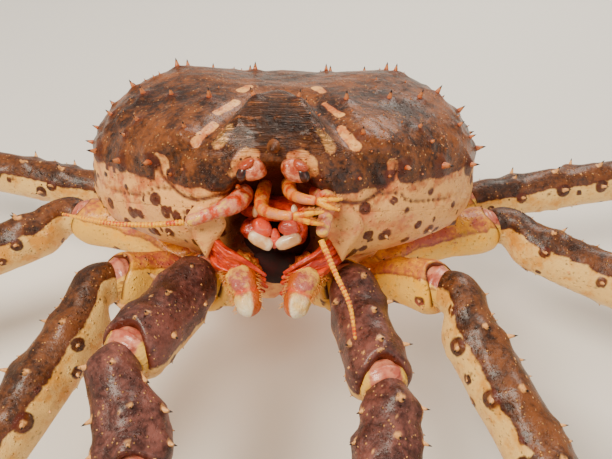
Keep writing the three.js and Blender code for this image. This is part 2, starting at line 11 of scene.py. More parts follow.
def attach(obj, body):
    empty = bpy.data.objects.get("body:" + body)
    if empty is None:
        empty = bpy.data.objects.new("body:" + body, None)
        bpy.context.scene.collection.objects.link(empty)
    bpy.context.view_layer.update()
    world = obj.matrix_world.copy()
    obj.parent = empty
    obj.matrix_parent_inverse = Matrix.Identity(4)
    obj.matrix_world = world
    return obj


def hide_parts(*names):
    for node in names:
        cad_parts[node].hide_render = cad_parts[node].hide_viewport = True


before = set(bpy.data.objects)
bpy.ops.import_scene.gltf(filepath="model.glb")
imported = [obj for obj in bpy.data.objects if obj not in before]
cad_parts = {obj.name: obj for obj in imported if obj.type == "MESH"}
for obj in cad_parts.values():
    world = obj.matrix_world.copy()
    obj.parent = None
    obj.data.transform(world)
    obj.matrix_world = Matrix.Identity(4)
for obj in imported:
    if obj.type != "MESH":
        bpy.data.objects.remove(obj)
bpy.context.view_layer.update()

bl_info = {
    "name": "Red king crab",
    "version": (1, 0, 0),
    "blender": (4, 5, 0),
    "location": "3D View > Sidebar > Crab",
    "description": "Builds a life-size red king crab around its solid parts",
    "category": "Add Mesh",
}

MM = 0.001
WELD = 1e-6
SIDES = ((1, "left"), (-1, "right"))
SEEDS = {"shell": 11, "legs": 100, "arms": 300, "mouth_bristles": 500, "folds": 540, "feeler_bristles": 620}
UP = np.array([0.0, 0.0, 1.0])

# The body's own frame stands nose up in the row frame, sizes in millimetres
NOSE_UP = math.radians(25)
BODY_HEIGHT = 118.0
BODY_SHIFT = 120.193

# Body shell
HALF_WIDTH = 100.0
FRONT_LENGTH = 84.0
BACK_LENGTH = 82.0
DOME_HEIGHT = 47.0
KEEL_DEPTH = 33.0
GAP = 0.4
HOOD = {"half_turn": 25.0, "flare": 12.0, "back_rise": 77.0, "corner": 16.0, "height": 7.0}
CARDIAC = {"y": 34.0, "half_width": 21.0, "half_length": 30.0, "height": 3.0}
BRANCHIAL = {"x": 58.0, "y": 16.0, "half_width": 46.0, "half_length": 52.0, "height": 8.0}
LOBE = {"x": 37.0, "y": -62.0, "radius": 22.0, "height": 6.0}
GROOVE_DEPTH = 5.0
GROOVE_WIDTH = 8.0
BOXINESS = 0.68
FRONT_TAPER = 0.42
FRONT_RISE = 18.0
ROUNDING = 0.003
SHELL_COLUMNS = 360
SHELL_ROWS = 180
SCOOP = {"y": -94.0, "z": -12.0, "radii": (28.0, 36.0, 39.0)}
SEAM = {"y": -30.0, "z": -9.0, "slope": math.atan(0.25)}
# Spines that root lower than this many degrees stand on the flanks
FLANK_RISE = -8
# Pale strokes on each half of the shell: their line, half width and strength
STROKES = (
    (((27.5, -54, 39.5), (23.4, -47.4, 41.2), (20, -41, 43)), 2.3, 0.9),
    (((33, -74, 30), (30, -69.5, 33.2), (27, -63, 36.5)), 2.6, 0.9),
    (((19.5, -28, 46.5), (18, -25, 47), (16.5, -22, 47.3)), 2.8, 0.9),
    (((23, -80, 31), (21, -79, 34), (18.5, -77, 37)), 4.2, 0.57),
    (((50.5, -66.5, 8), (50.3, -66.5, 14), (49.5, -68, 22)), 3.6, 0.95),
)
# Red seams on each half: under the lobe beside the mouth and up its side, and along the flank
SEAM_LINES = (
    ((9, -83, 16), (14.6, -83, 13.3), (24.3, -81, 9.6), (34.9, -77.4, 6.8), (43.8, -71.2, 9.3),
     (50.5, -66.7, 15), (50.3, -68, 24), (43, -71, 31)),
    ((47, -69, 8.8), (54.2, -65.9, 8), (60, -62.1, 3.5), (76, -48.6, 0.6), (92, -25, -1.5), (99, 0, -4),
     (97, 30, -9), (84, 58, -14), (56, 77, -19)),
)


def smooth(value, low, high):
    """Zero below low, one above high, an even S between them."""
    share = np.clip((value - low) / (high - low), 0, 1)
    return share * share * (3 - 2 * share)


def bump(distance, width):
    """A round hump: one at no distance, fading over a width."""
    return np.exp(-((distance / width) ** 2))


def unit(vectors):
    """Vectors of the same ways, all one long."""
    vectors = np.asarray(vectors, float)
    return vectors / np.maximum(np.linalg.norm(vectors, axis=-1, keepdims=True), 1e-12)


def mirrored(points, side):
    """Points of the left half as they lie on a side."""
    return np.array(points, float) * np.array([side, 1, 1])


def turn_to_row(ways):
    """Ways of the body's frame in the row frame."""
    x, y, z = np.moveaxis(np.asarray(ways, float), -1, 0)
    cosine, sine = math.cos(NOSE_UP), math.sin(NOSE_UP)
    return np.stack([x, y * cosine + z * sine, -y * sine + z * cosine], axis=-1)


def to_row(points):
    """Points of the body's frame in the row frame."""
    return turn_to_row(points) + np.array([0, BODY_SHIFT, BODY_HEIGHT])


# Meshes: operators make the net of faces, functions place its vertices


def places_of(mesh):
    """A mesh's vertices as an array."""
    flat = np.empty(len(mesh.vertices) * 3)
    mesh.vertices.foreach_get("co", flat)
    return flat.reshape(-1, 3)


def closed(mesh, points, values):
    """Places the vertices, in millimetres, closes seams and turns the faces outwards."""
    mesh.vertices.foreach_set("co", (points * MM).ravel())
    for key, column in values.items():
        column = np.broadcast_to(column, len(points)).astype(np.float32)
        mesh.attributes.new(key, "FLOAT", "POINT").data.foreach_set("value", column)
    shape = bmesh.new()
    shape.from_mesh(mesh)
    bmesh.ops.remove_doubles(shape, verts=shape.verts, dist=WELD)
    bmesh.ops.recalc_face_normals(shape, faces=shape.faces)
    shape.to_mesh(mesh)
    shape.free()
    return mesh


def mesh_of(shape, name):
    """The mesh of a finished shape, which is then freed."""
    mesh = bpy.data.meshes.new(name)
    shape.to_mesh(mesh)
    shape.free()
    return mesh


def rolled(rows, around, place):
    """A closed tube rolled from a grid; rows hold a share of its length and of its radius."""
    shape = bmesh.new()
    bmesh.ops.create_grid(shape, x_segments=around, y_segments=len(rows) - 1, size=1)
    mesh = mesh_of(shape, "tube")
    grid = places_of(mesh)
    angle = (grid[:, 0] + 1) * math.pi
    row = np.rint((grid[:, 1] + 1) / 2 * (len(rows) - 1)).astype(int)
    share, out = np.array(rows)[row].T
    return closed(mesh, *place(angle, share, out))


def ball(columns, rows, place):
    """A closed ball; place gets the unit ball's vertices."""
    shape = bmesh.new()
    bmesh.ops.create_uvsphere(shape, u_segments=columns, v_segments=rows, radius=1)
    mesh = mesh_of(shape, "ball")
    return closed(mesh, *place(places_of(mesh)))


def ellipsoid(centre, radii, columns=32, rows=20, rough=0.0, square=1.0, tilt=0.0, taper=1.0, **masks):
    """A body-frame ellipsoid: uneven, squared off, tilted about Y, narrowed towards its foot."""
    turn = np.array(Matrix.Rotation(math.radians(tilt), 3, "Y"))

    def place(points):
        uneven = 1 + rough * ripple(points * np.array(radii), 5.0)[:, None] / max(radii)
        shaped = np.sign(points) * np.abs(points) ** square * np.array(radii) * uneven
        shaped[:, 0] *= taper + (1 - taper) * smooth(points[:, 2], -1, 0.5)
        return to_row(np.array(centre) + shaped @ turn.T), masks
    return ball(columns, rows, place)


# Shares of a spine's length and radius, from its foot to its point
CONE_ROWS = ((0, 0), (0, 1), (0.1, 0.84), (0.3, 0.62), (0.6, 0.37), (0.86, 0.15), (1, 0))


def cones(roots, ways, lengths, radii, around=8, rows=CONE_ROWS, **masks):
    """Many cones in one mesh, from their roots along their ways."""
    roots, ways = np.asarray(roots, float), unit(ways)
    lengths, radii = np.asarray(lengths, float), np.asarray(radii, float)
    unit_cone = rolled(rows, around, lambda angle, share, out: (
        np.stack([out * np.cos(angle), out * np.sin(angle), share], axis=1) / MM, {}))
    model = places_of(unit_cone)
    shape = bmesh.new()
    for _ in roots:
        shape.from_mesh(unit_cone)
    bpy.data.meshes.remove(unit_cone)
    helper = np.where(np.abs(ways[:, 2:3]) > 0.8, np.array([[1.0, 0, 0]]), UP)
    across = unit(np.cross(helper, ways))
    upward = np.cross(ways, across)
    x, y, z = model.T
    points = roots[:, None] + (
        across[:, None] * x[None, :, None] + upward[:, None] * y[None, :, None]
    ) * radii[:, None, None] + ways[:, None] * (z[None, :] * lengths[:, None])[..., None]
    share = np.tile(z, len(roots))
    made = {"tip": share, "shaft": np.ones(len(share))}
    for key, column in masks.items():
        made[key] = np.repeat(np.broadcast_to(column, len(roots)), len(model))
    return closed(mesh_of(shape, "cones"), points.reshape(-1, 3), made)


def joined(name, meshes):
    """One mesh from several, each of which is removed."""
    shape = bmesh.new()
    for mesh in meshes:
        shape.from_mesh(mesh)
        bpy.data.meshes.remove(mesh)
    return mesh_of(shape, name)


def painted(mesh, index):
    """The mesh with all its faces in one material slot."""
    mesh.polygons.foreach_set("material_index", np.full(len(mesh.polygons), index))
    return mesh


def finish_piece(name, meshes, finishes, slot, *nodes):
    """A finished object that rides on the body and stands for its solid nodes."""
    mesh = joined(name, meshes)
    for finish in finishes.split():
        mesh.materials.append(material_of(finish))
    mesh.polygons.foreach_set("use_smooth", np.ones(len(mesh.polygons), bool))
    piece = bpy.data.objects.new(name, mesh)
    bpy.context.scene.collection.objects.link(piece)
    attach(piece, "root")
    if nodes:
        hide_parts(*nodes)


def crust_piece(node, meshes, finishes, slot):
    """A piece of crust in place of the solid node that it is named for."""
    finish_piece(f"{node}_crust", meshes, finishes, slot, node)


def ripple(points, wavelength):
    """Soft unevenness from minus one to one, the same at every run."""
    return np.array([noise.noise(Vector(point)) for point in points / wavelength])


def mounds(points, roots, heights, widths):
    """How far each point is raised by humps round the roots."""
    raised = np.zeros(len(points))
    for root, height, width in zip(roots, heights, widths):
        squared = ((points - root) ** 2).sum(axis=1)
        raised += height * np.exp(-squared / width ** 2)
    return raised


def rings(points, roots, radii):
    """Masks of a brown disc round each root and of the knob inside it."""
    ring = np.zeros(len(points))
    knob = np.zeros(len(points))
    for root, radius in zip(roots, radii):
        distance = np.sqrt(((points - root) ** 2).sum(axis=1)) / radius
        ring = np.maximum(ring, 1 - smooth(distance, 0.75, 1.35))
        knob = np.maximum(knob, 1 - smooth(distance, 0.2, 0.5))
    return ring, knob


def beside_lines(points, lines):
    """Millimetres from each point to the nearest of some smooth lines."""
    steps = np.vstack([curve_through(line, 60)[0] for line in lines])
    nearest = np.full(len(points), 1e3)
    for step in steps:
        nearest = np.minimum(nearest, ((points - step) ** 2).sum(axis=1))
    return np.sqrt(nearest)


# Body shell


def outside_hood(turn, z, spread):
    """Millimetres outside the edge of the hood, the raised field behind the snout."""
    rise = np.degrees(np.arcsin(np.clip(z, -1, 1)))
    edge = HOOD["half_turn"] + HOOD["flare"] * (1 - smooth(rise, 2, 28))
    beside = (np.degrees(np.abs(turn)) - edge) * 1.5 * spread
    behind = (rise - HOOD["back_rise"]) * 1.3
    return (beside + behind + np.hypot(beside - behind, HOOD["corner"])) / 2


def body_points(x, y, z):
    """Where ways from the middle of a unit ball meet the shell, and how far outside the hood."""
    level = np.hypot(x, y)
    turn = np.arctan2(x, -y)
    spread = level ** BOXINESS
    rise = np.sign(z) * np.abs(z) ** BOXINESS
    forward, aside = np.cos(turn), np.sin(turn)
    taper = 1 - FRONT_TAPER * np.maximum(forward, 0) ** 2
    length = np.where(forward > 0, FRONT_LENGTH, BACK_LENGTH)
    plan_x = HALF_WIDTH * taper * aside * (aside ** 2 + ROUNDING) ** -0.05 * spread
    plan_y = -length * forward * (forward ** 2 + ROUNDING) ** -0.07 * spread
    height = rise * np.where(rise > 0, DOME_HEIGHT, KEEL_DEPTH)
    top = smooth(z, 0.05, 0.6)
    outside = outside_hood(turn, z, spread)
    groove = GROOVE_DEPTH * bump(outside, GROOVE_WIDTH)
    cardiac = np.hypot(plan_x / CARDIAC["half_width"], (plan_y - CARDIAC["y"]) / CARDIAC["half_length"])
    branchial = np.hypot(
        (np.abs(plan_x) - BRANCHIAL["x"]) / BRANCHIAL["half_width"],
        (plan_y - BRANCHIAL["y"]) / BRANCHIAL["half_length"],
    )
    domes = HOOD["height"] * (1 - smooth(outside, -16, 3))
    domes = domes + CARDIAC["height"] * bump(cardiac, 0.8) + BRANCHIAL["height"] * bump(branchial, 0.8)
    lobe = LOBE["height"] * bump(np.hypot(np.abs(plan_x) - LOBE["x"], plan_y - LOBE["y"]), LOBE["radius"])
    front_rise = FRONT_RISE * smooth(-plan_y, 20, FRONT_LENGTH) * (1 - np.abs(rise)) * smooth(z, -0.5, 0.4)
    dent = groove * (1 - top) * smooth(z, -0.1, 0.1)
    push = 1 + (lobe * smooth(z, -0.4, 0.3) - dent) * level / np.maximum(np.hypot(plan_x, plan_y), 20)
    lift = top * (domes - groove) + front_rise
    return np.stack([plan_x * push, plan_y * push, height + lift], axis=-1), outside


def shell_point(turn, rise, side):
    """A point of the shell by degrees round from the front and degrees above its rim."""
    turn, rise = np.radians(turn), np.radians(rise)
    x = side * np.sin(turn) * np.cos(rise)
    return body_points(x, -np.cos(turn) * np.cos(rise), np.sin(rise))[0]


def shell_way(turn, rise, side):
    """The way straight out of the shell at a point."""
    root = shell_point(turn, rise, side)
    along = shell_point(turn + 1, rise, side) - root
    upward = shell_point(turn, rise + 1, side) - root
    return unit(side * np.cross(along, upward))


# Spines: where they root and how long they are, drawn once in the solid parts' order
SHELL_SPINES = (
    ((56, 19), (150, 22), 5, 4.5), ((42, 7), (98, 12), 5, 6.5), ((112, 10), (158, 12), 4, 5.5),
    ((33, 33), (92, 30), 4, 5), ((108, 34), (150, 38), 3, 5), ((40, 60), (86, 47), 4, 5.5),
    ((104, 62), (140, 58), 3, 5.5), ((11, 48), (20, 66), 2, 5.5), ((150, 76), (165, 54), 3, 5),
)
LOBE_SPINES = ((14, 3), (38, 4), 4, 3.6)
FLANK_SPINES = ((40, -14), (120, -34), 6, 3.4)
LEG_SPINES = {
    "base": ((80, 2, 4.5),),
    "merus": ((88, 4, 6.5), (38, 3, 5.5), (145, 4, 5.5), (5, 2, 4.5)),
    "carpus": ((90, 2, 6), (40, 2, 5.5), (145, 1, 5)),
    "propodus": ((90, 3, 5.5), (30, 3, 4.5), (150, 3, 4.5)),
    "dactyl": (),
}
ARM_SPINES = {
    "base": (),
    "merus": ((80, 3, 6), (25, 2, 6), (140, 2, 6)),
    "carpus": ((85, 3, 6), (25, 3, 6), (150, 3, 6)),
    "palm": ((85, 3, 5), (30, 2, 5), (150, 3, 5)),
}
SNOUT = (
    ((0, -76, 31), (0, -1, 0.08), 17), ((0, -72, 36), (0, -0.62, 0.78), 9),
    ((6, -74, 36), (0.35, -0.8, 0.5), 7), ((-6, -74, 36), (-0.35, -0.8, 0.5), 7),
)


class Draws:
    """Seeded draws that repeat those of the solid parts."""

    def __init__(self, seed):
        self.drawn = seed

    def uneven(self, amount):
        """The next draw, between minus and plus an amount."""
        self.drawn = (self.drawn * 16807) % 2147483647
        return amount * (2 * (self.drawn / 2147483647) - 1)

    def shell_row(self, row):
        """Degrees round, degrees up and length of each spine in a row."""
        start, end, count, length = row
        plan = []
        for index in range(count):
            share = index / (count - 1)
            turn = start[0] + (end[0] - start[0]) * share + self.uneven(2)
            rise = start[1] + (end[1] - start[1]) * share + self.uneven(2)
            plan.append((turn, rise, length * (1 + self.uneven(0.18))))
        return plan

    def limb_rows(self, rows):
        """Share along, angle round and length of each spine of a segment."""
        plan = []
        for angle, count, length in rows:
            for index in range(count):
                share = 0.1 + (0.82 * (index + 0.5)) / count + self.uneven(0.02)
                turned = math.radians(angle + self.uneven(6))
                plan.append((share, turned, length * (1 + self.uneven(0.2))))
        return plan


draws = Draws(7)
SHELL_PLAN = {side: [spine for row in (*SHELL_SPINES, LOBE_SPINES) for spine in draws.shell_row(row)]
              for side, _ in SIDES}
FLANK_PLAN = {side: draws.shell_row(FLANK_SPINES) for side, _ in SIDES}
LEG_NAMES = ("leg_1", "leg_2", "leg_3")
LEG_PLAN = {(leg, side): {node: draws.limb_rows(rows) for node, rows in LEG_SPINES.items()}
            for side, _ in SIDES for leg in LEG_NAMES}
ARM_PLAN = {side: {node: draws.limb_rows(rows) for node, rows in ARM_SPINES.items()} for side, _ in SIDES}

# Breastplate and its facets, one for each limb
PLATE = {"y": -2.0, "top": -KEEL_DEPTH - GAP, "depth": 22.0}
PLATE_RIMS = ((58.0, 52.0), (40.0, 40.0))
FACET_EDGES = (12, 42, 68, 94, 122)


def plate_point(angle, level):
    """A point of the breastplate's side, by its angle from the front and its level from the top."""
    wide, long = ((1 - level) * top + level * low for top, low in zip(*PLATE_RIMS))
    height = PLATE["top"] - PLATE["depth"] * level
    return np.stack([wide * np.sin(angle), PLATE["y"] - long * np.cos(angle), height + 0 * angle], axis=-1)


def facet(side, index):
    """The middle of one limb's facet and the way out of it."""
    first, last = (math.radians(edge) for edge in FACET_EDGES[index:index + 2])
    corners = [plate_point(np.float64(angle), level) for level in (0, 1) for angle in (first, last)]
    outward = unit(np.cross(corners[1] - corners[0], corners[2] - corners[0]))
    outward = outward * np.sign(outward[0])
    middle = np.mean(corners, axis=0) + outward * GAP
    return to_row(mirrored(middle, side)), turn_to_row(mirrored(outward, side))


# Limbs: share of a segment's length, half width and half height for a limb of radius 1
STATIONS = {
    "base": ((0, 0.74, 0.74), (0.3, 0.88, 0.86), (0.62, 0.84, 0.86), (0.88, 1.02, 1.04), (1, 0.88, 0.92)),
    "merus": ((0, 0.7, 0.72), (0.09, 0.94, 0.96), (0.35, 0.98, 1.04), (0.7, 0.96, 1.02),
              (0.93, 1.04, 1.08), (1, 0.86, 0.9)),
    "carpus": ((0, 0.62, 0.62), (0.2, 0.84, 0.8), (0.55, 1, 0.96), (0.88, 1.04, 1), (1, 0.8, 0.8)),
    "propodus": ((0, 0.56, 0.58), (0.1, 0.8, 0.8), (0.45, 0.84, 0.82), (0.9, 0.78, 0.76), (1, 0.62, 0.62)),
    "dactyl": ((0, 0.48, 0.5), (0.1, 0.6, 0.62), (0.4, 0.5, 0.54), (0.75, 0.34, 0.36), (0.93, 0.2, 0.2),
               (1, 0.1, 0.1)),
    "palm": ((0, 0.6, 0.62), (0.18, 0.95, 1), (0.5, 1.12, 1.32), (0.85, 1.05, 1.34), (1, 0.9, 1.22)),
    "finger": ((0, 0.7, 0.58), (0.3, 0.66, 0.54), (0.7, 0.46, 0.4), (0.93, 0.24, 0.22), (1, 0.1, 0.1)),
}
ROW_STEP = 1.7
PROFILE_BLUR = 0.035
LEG_RADIUS = 13.4
TIP_LIFT = 0.6
# How far from its start a segment turns from its parent's way into its own
LEG_NECKS = {"base": 26, "merus": 24, "carpus": 22, "propodus": 20}
ARM_NECKS = {"base": 18, "merus": 20, "carpus": 24, "palm": 30}
TOE_NECK = 18
FINGER_NECK = 16
TOE_BOW = 5
LEGS = {
    "leg_1": {"facet": 1, "radius": LEG_RADIUS, "base": (79, -58, -41.5), "merus": (142, 23.5, -11),
              "carpus": (60, 30, -14), "propodus": (112, 38, -16), "dactyl": (92, 45)},
    "leg_2": {"facet": 2, "radius": LEG_RADIUS, "base": (118, 12, -34), "merus": (150, 62, -6),
              "carpus": (62, 62, -10), "propodus": (118, 58, -12), "dactyl": (96, 54)},
    "leg_3": {"facet": 3, "radius": 0.94 * LEG_RADIUS, "base": (111, 46, -30), "merus": (138, 102, 2),
              "carpus": (58, 106, -14), "propodus": (112, 112, -18), "dactyl": (92, 118)},
}
ARMS = {
    "left": {"side": 1, "radius": 13, "base": (33, -66, -38), "merus": (55, 14, 3),
             "carpus": (44, 0, -12), "palm": (62, 6, -50), "finger": (46, 2, -60)},
    "right": {"side": -1, "radius": 14, "base": (35, -66, -37), "merus": (53, 25, 10),
              "carpus": (46, -14, -18), "palm": (64, -50, -34), "finger": (50, -52, -30)},
}


def way(side, aside, above):
    """A way by degrees from straight ahead towards the side, and above level."""
    a, e = math.radians(aside), math.radians(above)
    return np.array([side * math.sin(a) * math.cos(e), -math.cos(a) * math.cos(e), math.sin(e)])


class Limb:
    """A segment whose rings follow a centre line that leaves its parent squarely."""

    def __init__(self, kind, start, end, parent_way, radius, neck, bow=0.0, spines=()):
        self.kind = kind
        self.start = start
        self.parent_way = parent_way
        self.length = float(np.linalg.norm(end - start))
        self.way = (end - start) / self.length
        self.radius = radius
        self.neck = neck
        self.bow = bow
        self.spines = spines
        self.stations = np.array(STATIONS[kind]) * np.array([1, radius, radius])

    def frame(self, share):
        """Centre, tangent, way across and way up at shares of the length."""
        share = np.atleast_1d(np.asarray(share, float))
        along = (share * self.length)[:, None]
        turned = smooth(along, 0, self.neck)
        tangent = unit(self.parent_way * (1 - turned) + self.way * turned)
        across = unit(np.cross(UP, tangent))
        upward = np.cross(tangent, across)
        centre = self.start + self.parent_way * along * (1 - turned) + self.way * along * turned
        return centre + upward * (self.bow * np.sin(np.pi * share))[:, None], tangent, across, upward

    def half_sizes(self, share):
        """Half width and half height, softened between the stations."""
        shares = self.stations[:, 0]
        near = [np.clip(share + PROFILE_BLUR * step, 0, 1) for step in (-1, -0.5, 0, 0.5, 1)]
        return [np.mean([np.interp(s, shares, sizes) for s in near], axis=0) for sizes in self.stations.T[1:]]

    def point(self, share, angle, out=1.0):
        """A point by its share of the length, its angle round and its share of the radius."""
        centre, _, across, upward = self.frame(share)
        wide, high = self.half_sizes(np.atleast_1d(share))
        angle = np.atleast_1d(angle)
        return (centre + across * (out * wide * np.cos(angle))[:, None]
                + upward * (out * high * np.sin(angle))[:, None])

    def outward(self, share, angle):
        """The way out of the surface, leaning a little towards the far end."""
        root = self.point(share, angle)
        centre, tangent, _, _ = self.frame(share)
        return unit(unit(root - centre) + 0.45 * tangent)


def limb_chain(sizes_of, side, facet_index, necks, plans):
    """A limb's segments from its facet outwards, and where its end piece starts."""
    start, parent_way = facet(side, facet_index)
    end = to_row(mirrored(sizes_of["base"], side))
    limbs = []
    for kind, neck in necks.items():
        if kind != "base":
            length, aside, above = sizes_of[kind]
            end = start + way(side, aside, above) * length
        limbs.append(Limb(kind, start, end, parent_way, sizes_of["radius"], neck, 0, plans[kind]))
        start, parent_way = end + limbs[-1].way * GAP, limbs[-1].way
    return limbs, start


def leg_limbs(name, side):
    """The five segments of a walking leg."""
    leg = LEGS[name]
    limbs, start = limb_chain(leg, side, leg["facet"], LEG_NECKS, LEG_PLAN[name, side])
    length, aside = leg["dactyl"]
    above = -math.degrees(math.asin((start[2] - TIP_LIFT) / length))
    toe = start + way(side, aside, above) * length
    return [*limbs, Limb("dactyl", start, toe, limbs[-1].way, leg["radius"], TOE_NECK, TOE_BOW)]


def arm_limbs(name):
    """The four segments and two fingers of a clawed arm."""
    arm = ARMS[name]
    side, radius = arm["side"], arm["radius"]
    limbs, _ = limb_chain(arm, side, 0, ARM_NECKS, ARM_PLAN[side])
    palm = limbs[-1]
    centre, _, _, upward = (part[0] for part in palm.frame(1))
    length, aside, above = arm["finger"]
    for edge, spread in ((-1, -0.1), (1, 0.14)):
        root = centre + upward * edge * 0.62 * radius + palm.way * GAP
        forward = unit(way(side, aside, above) + upward * spread)
        tip = root + forward * length
        limbs.append(Limb("finger", root, tip, palm.way, radius, FINGER_NECK, edge * TOE_BOW))
    return limbs


# Head pieces in the body's frame
EYE = (8.6, -86.0, 22.5)
EYE_STALK = ((7.5, -60, 20), (7.8, -72, 21), EYE)
MOUTH_LEG = ((13, -58, -33), (16, -74, -27), (13.5, -86, -26), (10.8, -92, -31), (9, -97, -38))
MOUTH_LEG_RADII = (8, 8, 7.2, 6.2, 5)
MOUTH_LEG_JOINTS = np.array([0.34, 0.56, 0.78])
# The line of the red folds over the roots of the mouth legs
FOLD_LINE = ((31, -70, -11), (25, -78.5, -14.5), (18, -82.5, -17.5), (11, -84, -21.5), (3.2, -83, -26.5))
ANTENNAE = {
    "left": (((19, -72, 10), (22, -87, 9), (20, -96, -2)),
             ((19.9, -96.8, -3), (26, -105, -14), (31.5, -111, -24), (34, -117, -36))),
    "right": (((-14, -70, 8), (-16, -81.5, 7), (-25, -86, 4), (-36, -87, 0)),
              ((-37, -87, -0.2), (-52, -89, -1), (-70, -86, -1.5), (-92, -76, -1.6))),
}
FOOT_RADII = (5, 4.4, 3, 2.6)
WHIP_RADII = (1.3, 1.1, 0.9, 0.6)
ANTENNULES = {
    "left": (((5, -64, 12), (7, -82, 12), (12, -91, 12.5), (18, -94, 12.5)),
             (((18, -94, 12.5), (23, -95, 13.5), (28, -95, 14)),
              ((18, -94, 12.5), (22.5, -96, 11), (27, -97, 10)))),
    "right": (((-5, -64, 11), (-5, -84, 6.5), (2, -95, 7), (9, -98, 7.5)),
              (((9, -98, 7.5), (15, -99, 9), (21, -98, 9.5)),
               ((9, -98, 7.5), (15, -99, 5.5), (21, -98.5, 4.5)))),
}
TAIL = {"y": 35.0, "z": -37.0, "radii": (50.0, 54.0, 29.0)}


def curve_through(points, count=160):
    """Even steps along a smooth curve through points, and its length."""
    points = np.array(points, float)
    ends = np.vstack([2 * points[0] - points[1], points, 2 * points[-1] - points[-2]])
    steps = []
    for index in range(len(points) - 1):
        a, b, c, d = ends[index:index + 4]
        t = np.linspace(0, 1, 40, endpoint=False)[:, None]
        steps.append(0.5 * (2 * b + (c - a) * t + (2 * a - 5 * b + 4 * c - d) * t ** 2
                            + (3 * b - a - 3 * c + d) * t ** 3))
    path = np.vstack([*steps, points[-1:]])
    along = np.concatenate([[0], np.cumsum(np.linalg.norm(np.diff(path, axis=0), axis=1))])
    even = np.linspace(0, along[-1], count)
    return np.stack([np.interp(even, along, path[:, k]) for k in range(3)], axis=1), along[-1]


class Cord:
    """A body-frame tube along a curve, with radii at even steps."""

    def __init__(self, points, radii):
        self.path, self.length = curve_through(points)
        self.radii = radii
        self.tangents = unit(np.gradient(self.path, axis=0))
        chord = unit(self.path[-1] - self.path[0])
        helper = np.array([1.0, 0, 0]) if abs(chord[0]) < 0.7 else np.array([0, -1.0, 0])
        self.upward = unit(np.cross(self.tangents, helper))
        self.across = np.cross(self.upward, self.tangents)

    def at(self, share, rows):
        """Rows of the path's arrays between its steps."""
        place = np.clip(share, 0, 1) * (len(rows) - 1)
        return np.stack([np.interp(place, np.arange(len(rows)), rows[:, k]) for k in range(3)], axis=1)

    def radius(self, share):
        """The cord's radius at shares of its length."""
        steps = np.linspace(0, 1, len(self.radii))
        return np.interp(share, steps, self.radii)

    def point(self, share, angle, reach):
        """Points round the curve, so far from it."""
        return (self.at(share, self.path) + self.at(share, self.across) * (reach * np.cos(angle))[:, None]
                + self.at(share, self.upward) * (reach * np.sin(angle))[:, None])

    def tube(self, around, step, swell=None, values=None):
        """The closed tube; swell gives what its radius is multiplied by at each place."""
        count = max(int(self.length / step), 4)
        dome = 1 - self.radii[-1] / self.length
        steps = [*np.linspace(0, dome, count), *(dome + (1 - dome) * np.sin(np.linspace(0.15, 1.5, 8)))]
        rows = [(0, 0), (0, 0.6), *[(s, 1) for s in steps], (1, 0)]

        def place(angle, share, out):
            reach = self.radius(share) * out
            rounded = np.sqrt(np.clip(1 - np.clip((share - dome) / (1 - dome), 0, 1) ** 2, 0, 1))
            reach = reach * rounded * (swell(share, angle) if swell else 1)
            made = {key: rule(share, angle) for key, rule in (values or {}).items()}
            return to_row(self.point(share, angle, reach)), made
        return rolled(rows, around, place)


# Shader nodes
WET_IOR = 1.42
BLEED_RADIUS = (0.4, 0.1, 0.04)
BLEED_DEPTH = 0.004
CRUST_BUMP = 0.0014
FLESH_BUMP = 0.0008
GLOSS_BUMP = 0.0003


def maths(operation, turned=False):
    """A method that adds a Math node; turned swaps its two values."""
    def method(self, other):
        ends = (other, self) if turned else (self, other)
        return self.node("ShaderNodeMath", dict(enumerate(ends)), {"operation": operation})
    return method


class Wire:
    """A shader socket that takes part in sums, and makes further nodes of its tree."""

    def __init__(self, tree, socket=None):
        self.tree = tree
        self.socket = socket

    def node(self, kind, sockets, settings=None, output=0):
        """A new node: its settings first, then the values or links of its sockets."""
        made = self.tree.nodes.new(kind)
        for key, value in (settings or {}).items():
            setattr(made, key, value)
        for key, value in sockets.items():
            if isinstance(value, Wire):
                self.tree.links.new(value.socket, made.inputs[key])
            else:
                made.inputs[key].default_value = value
        return Wire(self.tree, made.outputs[output] if made.outputs else None)

    __add__ = __radd__ = maths("ADD")
    __sub__ = maths("SUBTRACT")
    __rsub__ = maths("SUBTRACT", True)
    __mul__ = __rmul__ = maths("MULTIPLY")

    def between(self, low, high):
        """Zero below low, one above high."""
        sockets = {"Value": self, "From Min": low, "From Max": high}
        return self.node("ShaderNodeMapRange", sockets, {"interpolation_type": "SMOOTHSTEP"})

    def mix(self, first, second):
        """The first colour at zero, the second at one."""
        ends = {6: first, 7: second}
        ends = {key: value if isinstance(value, Wire) else (*value, 1) for key, value in ends.items()}
        return self.node("ShaderNodeMix", {0: self, **ends}, {"data_type": "RGBA"}, 2)


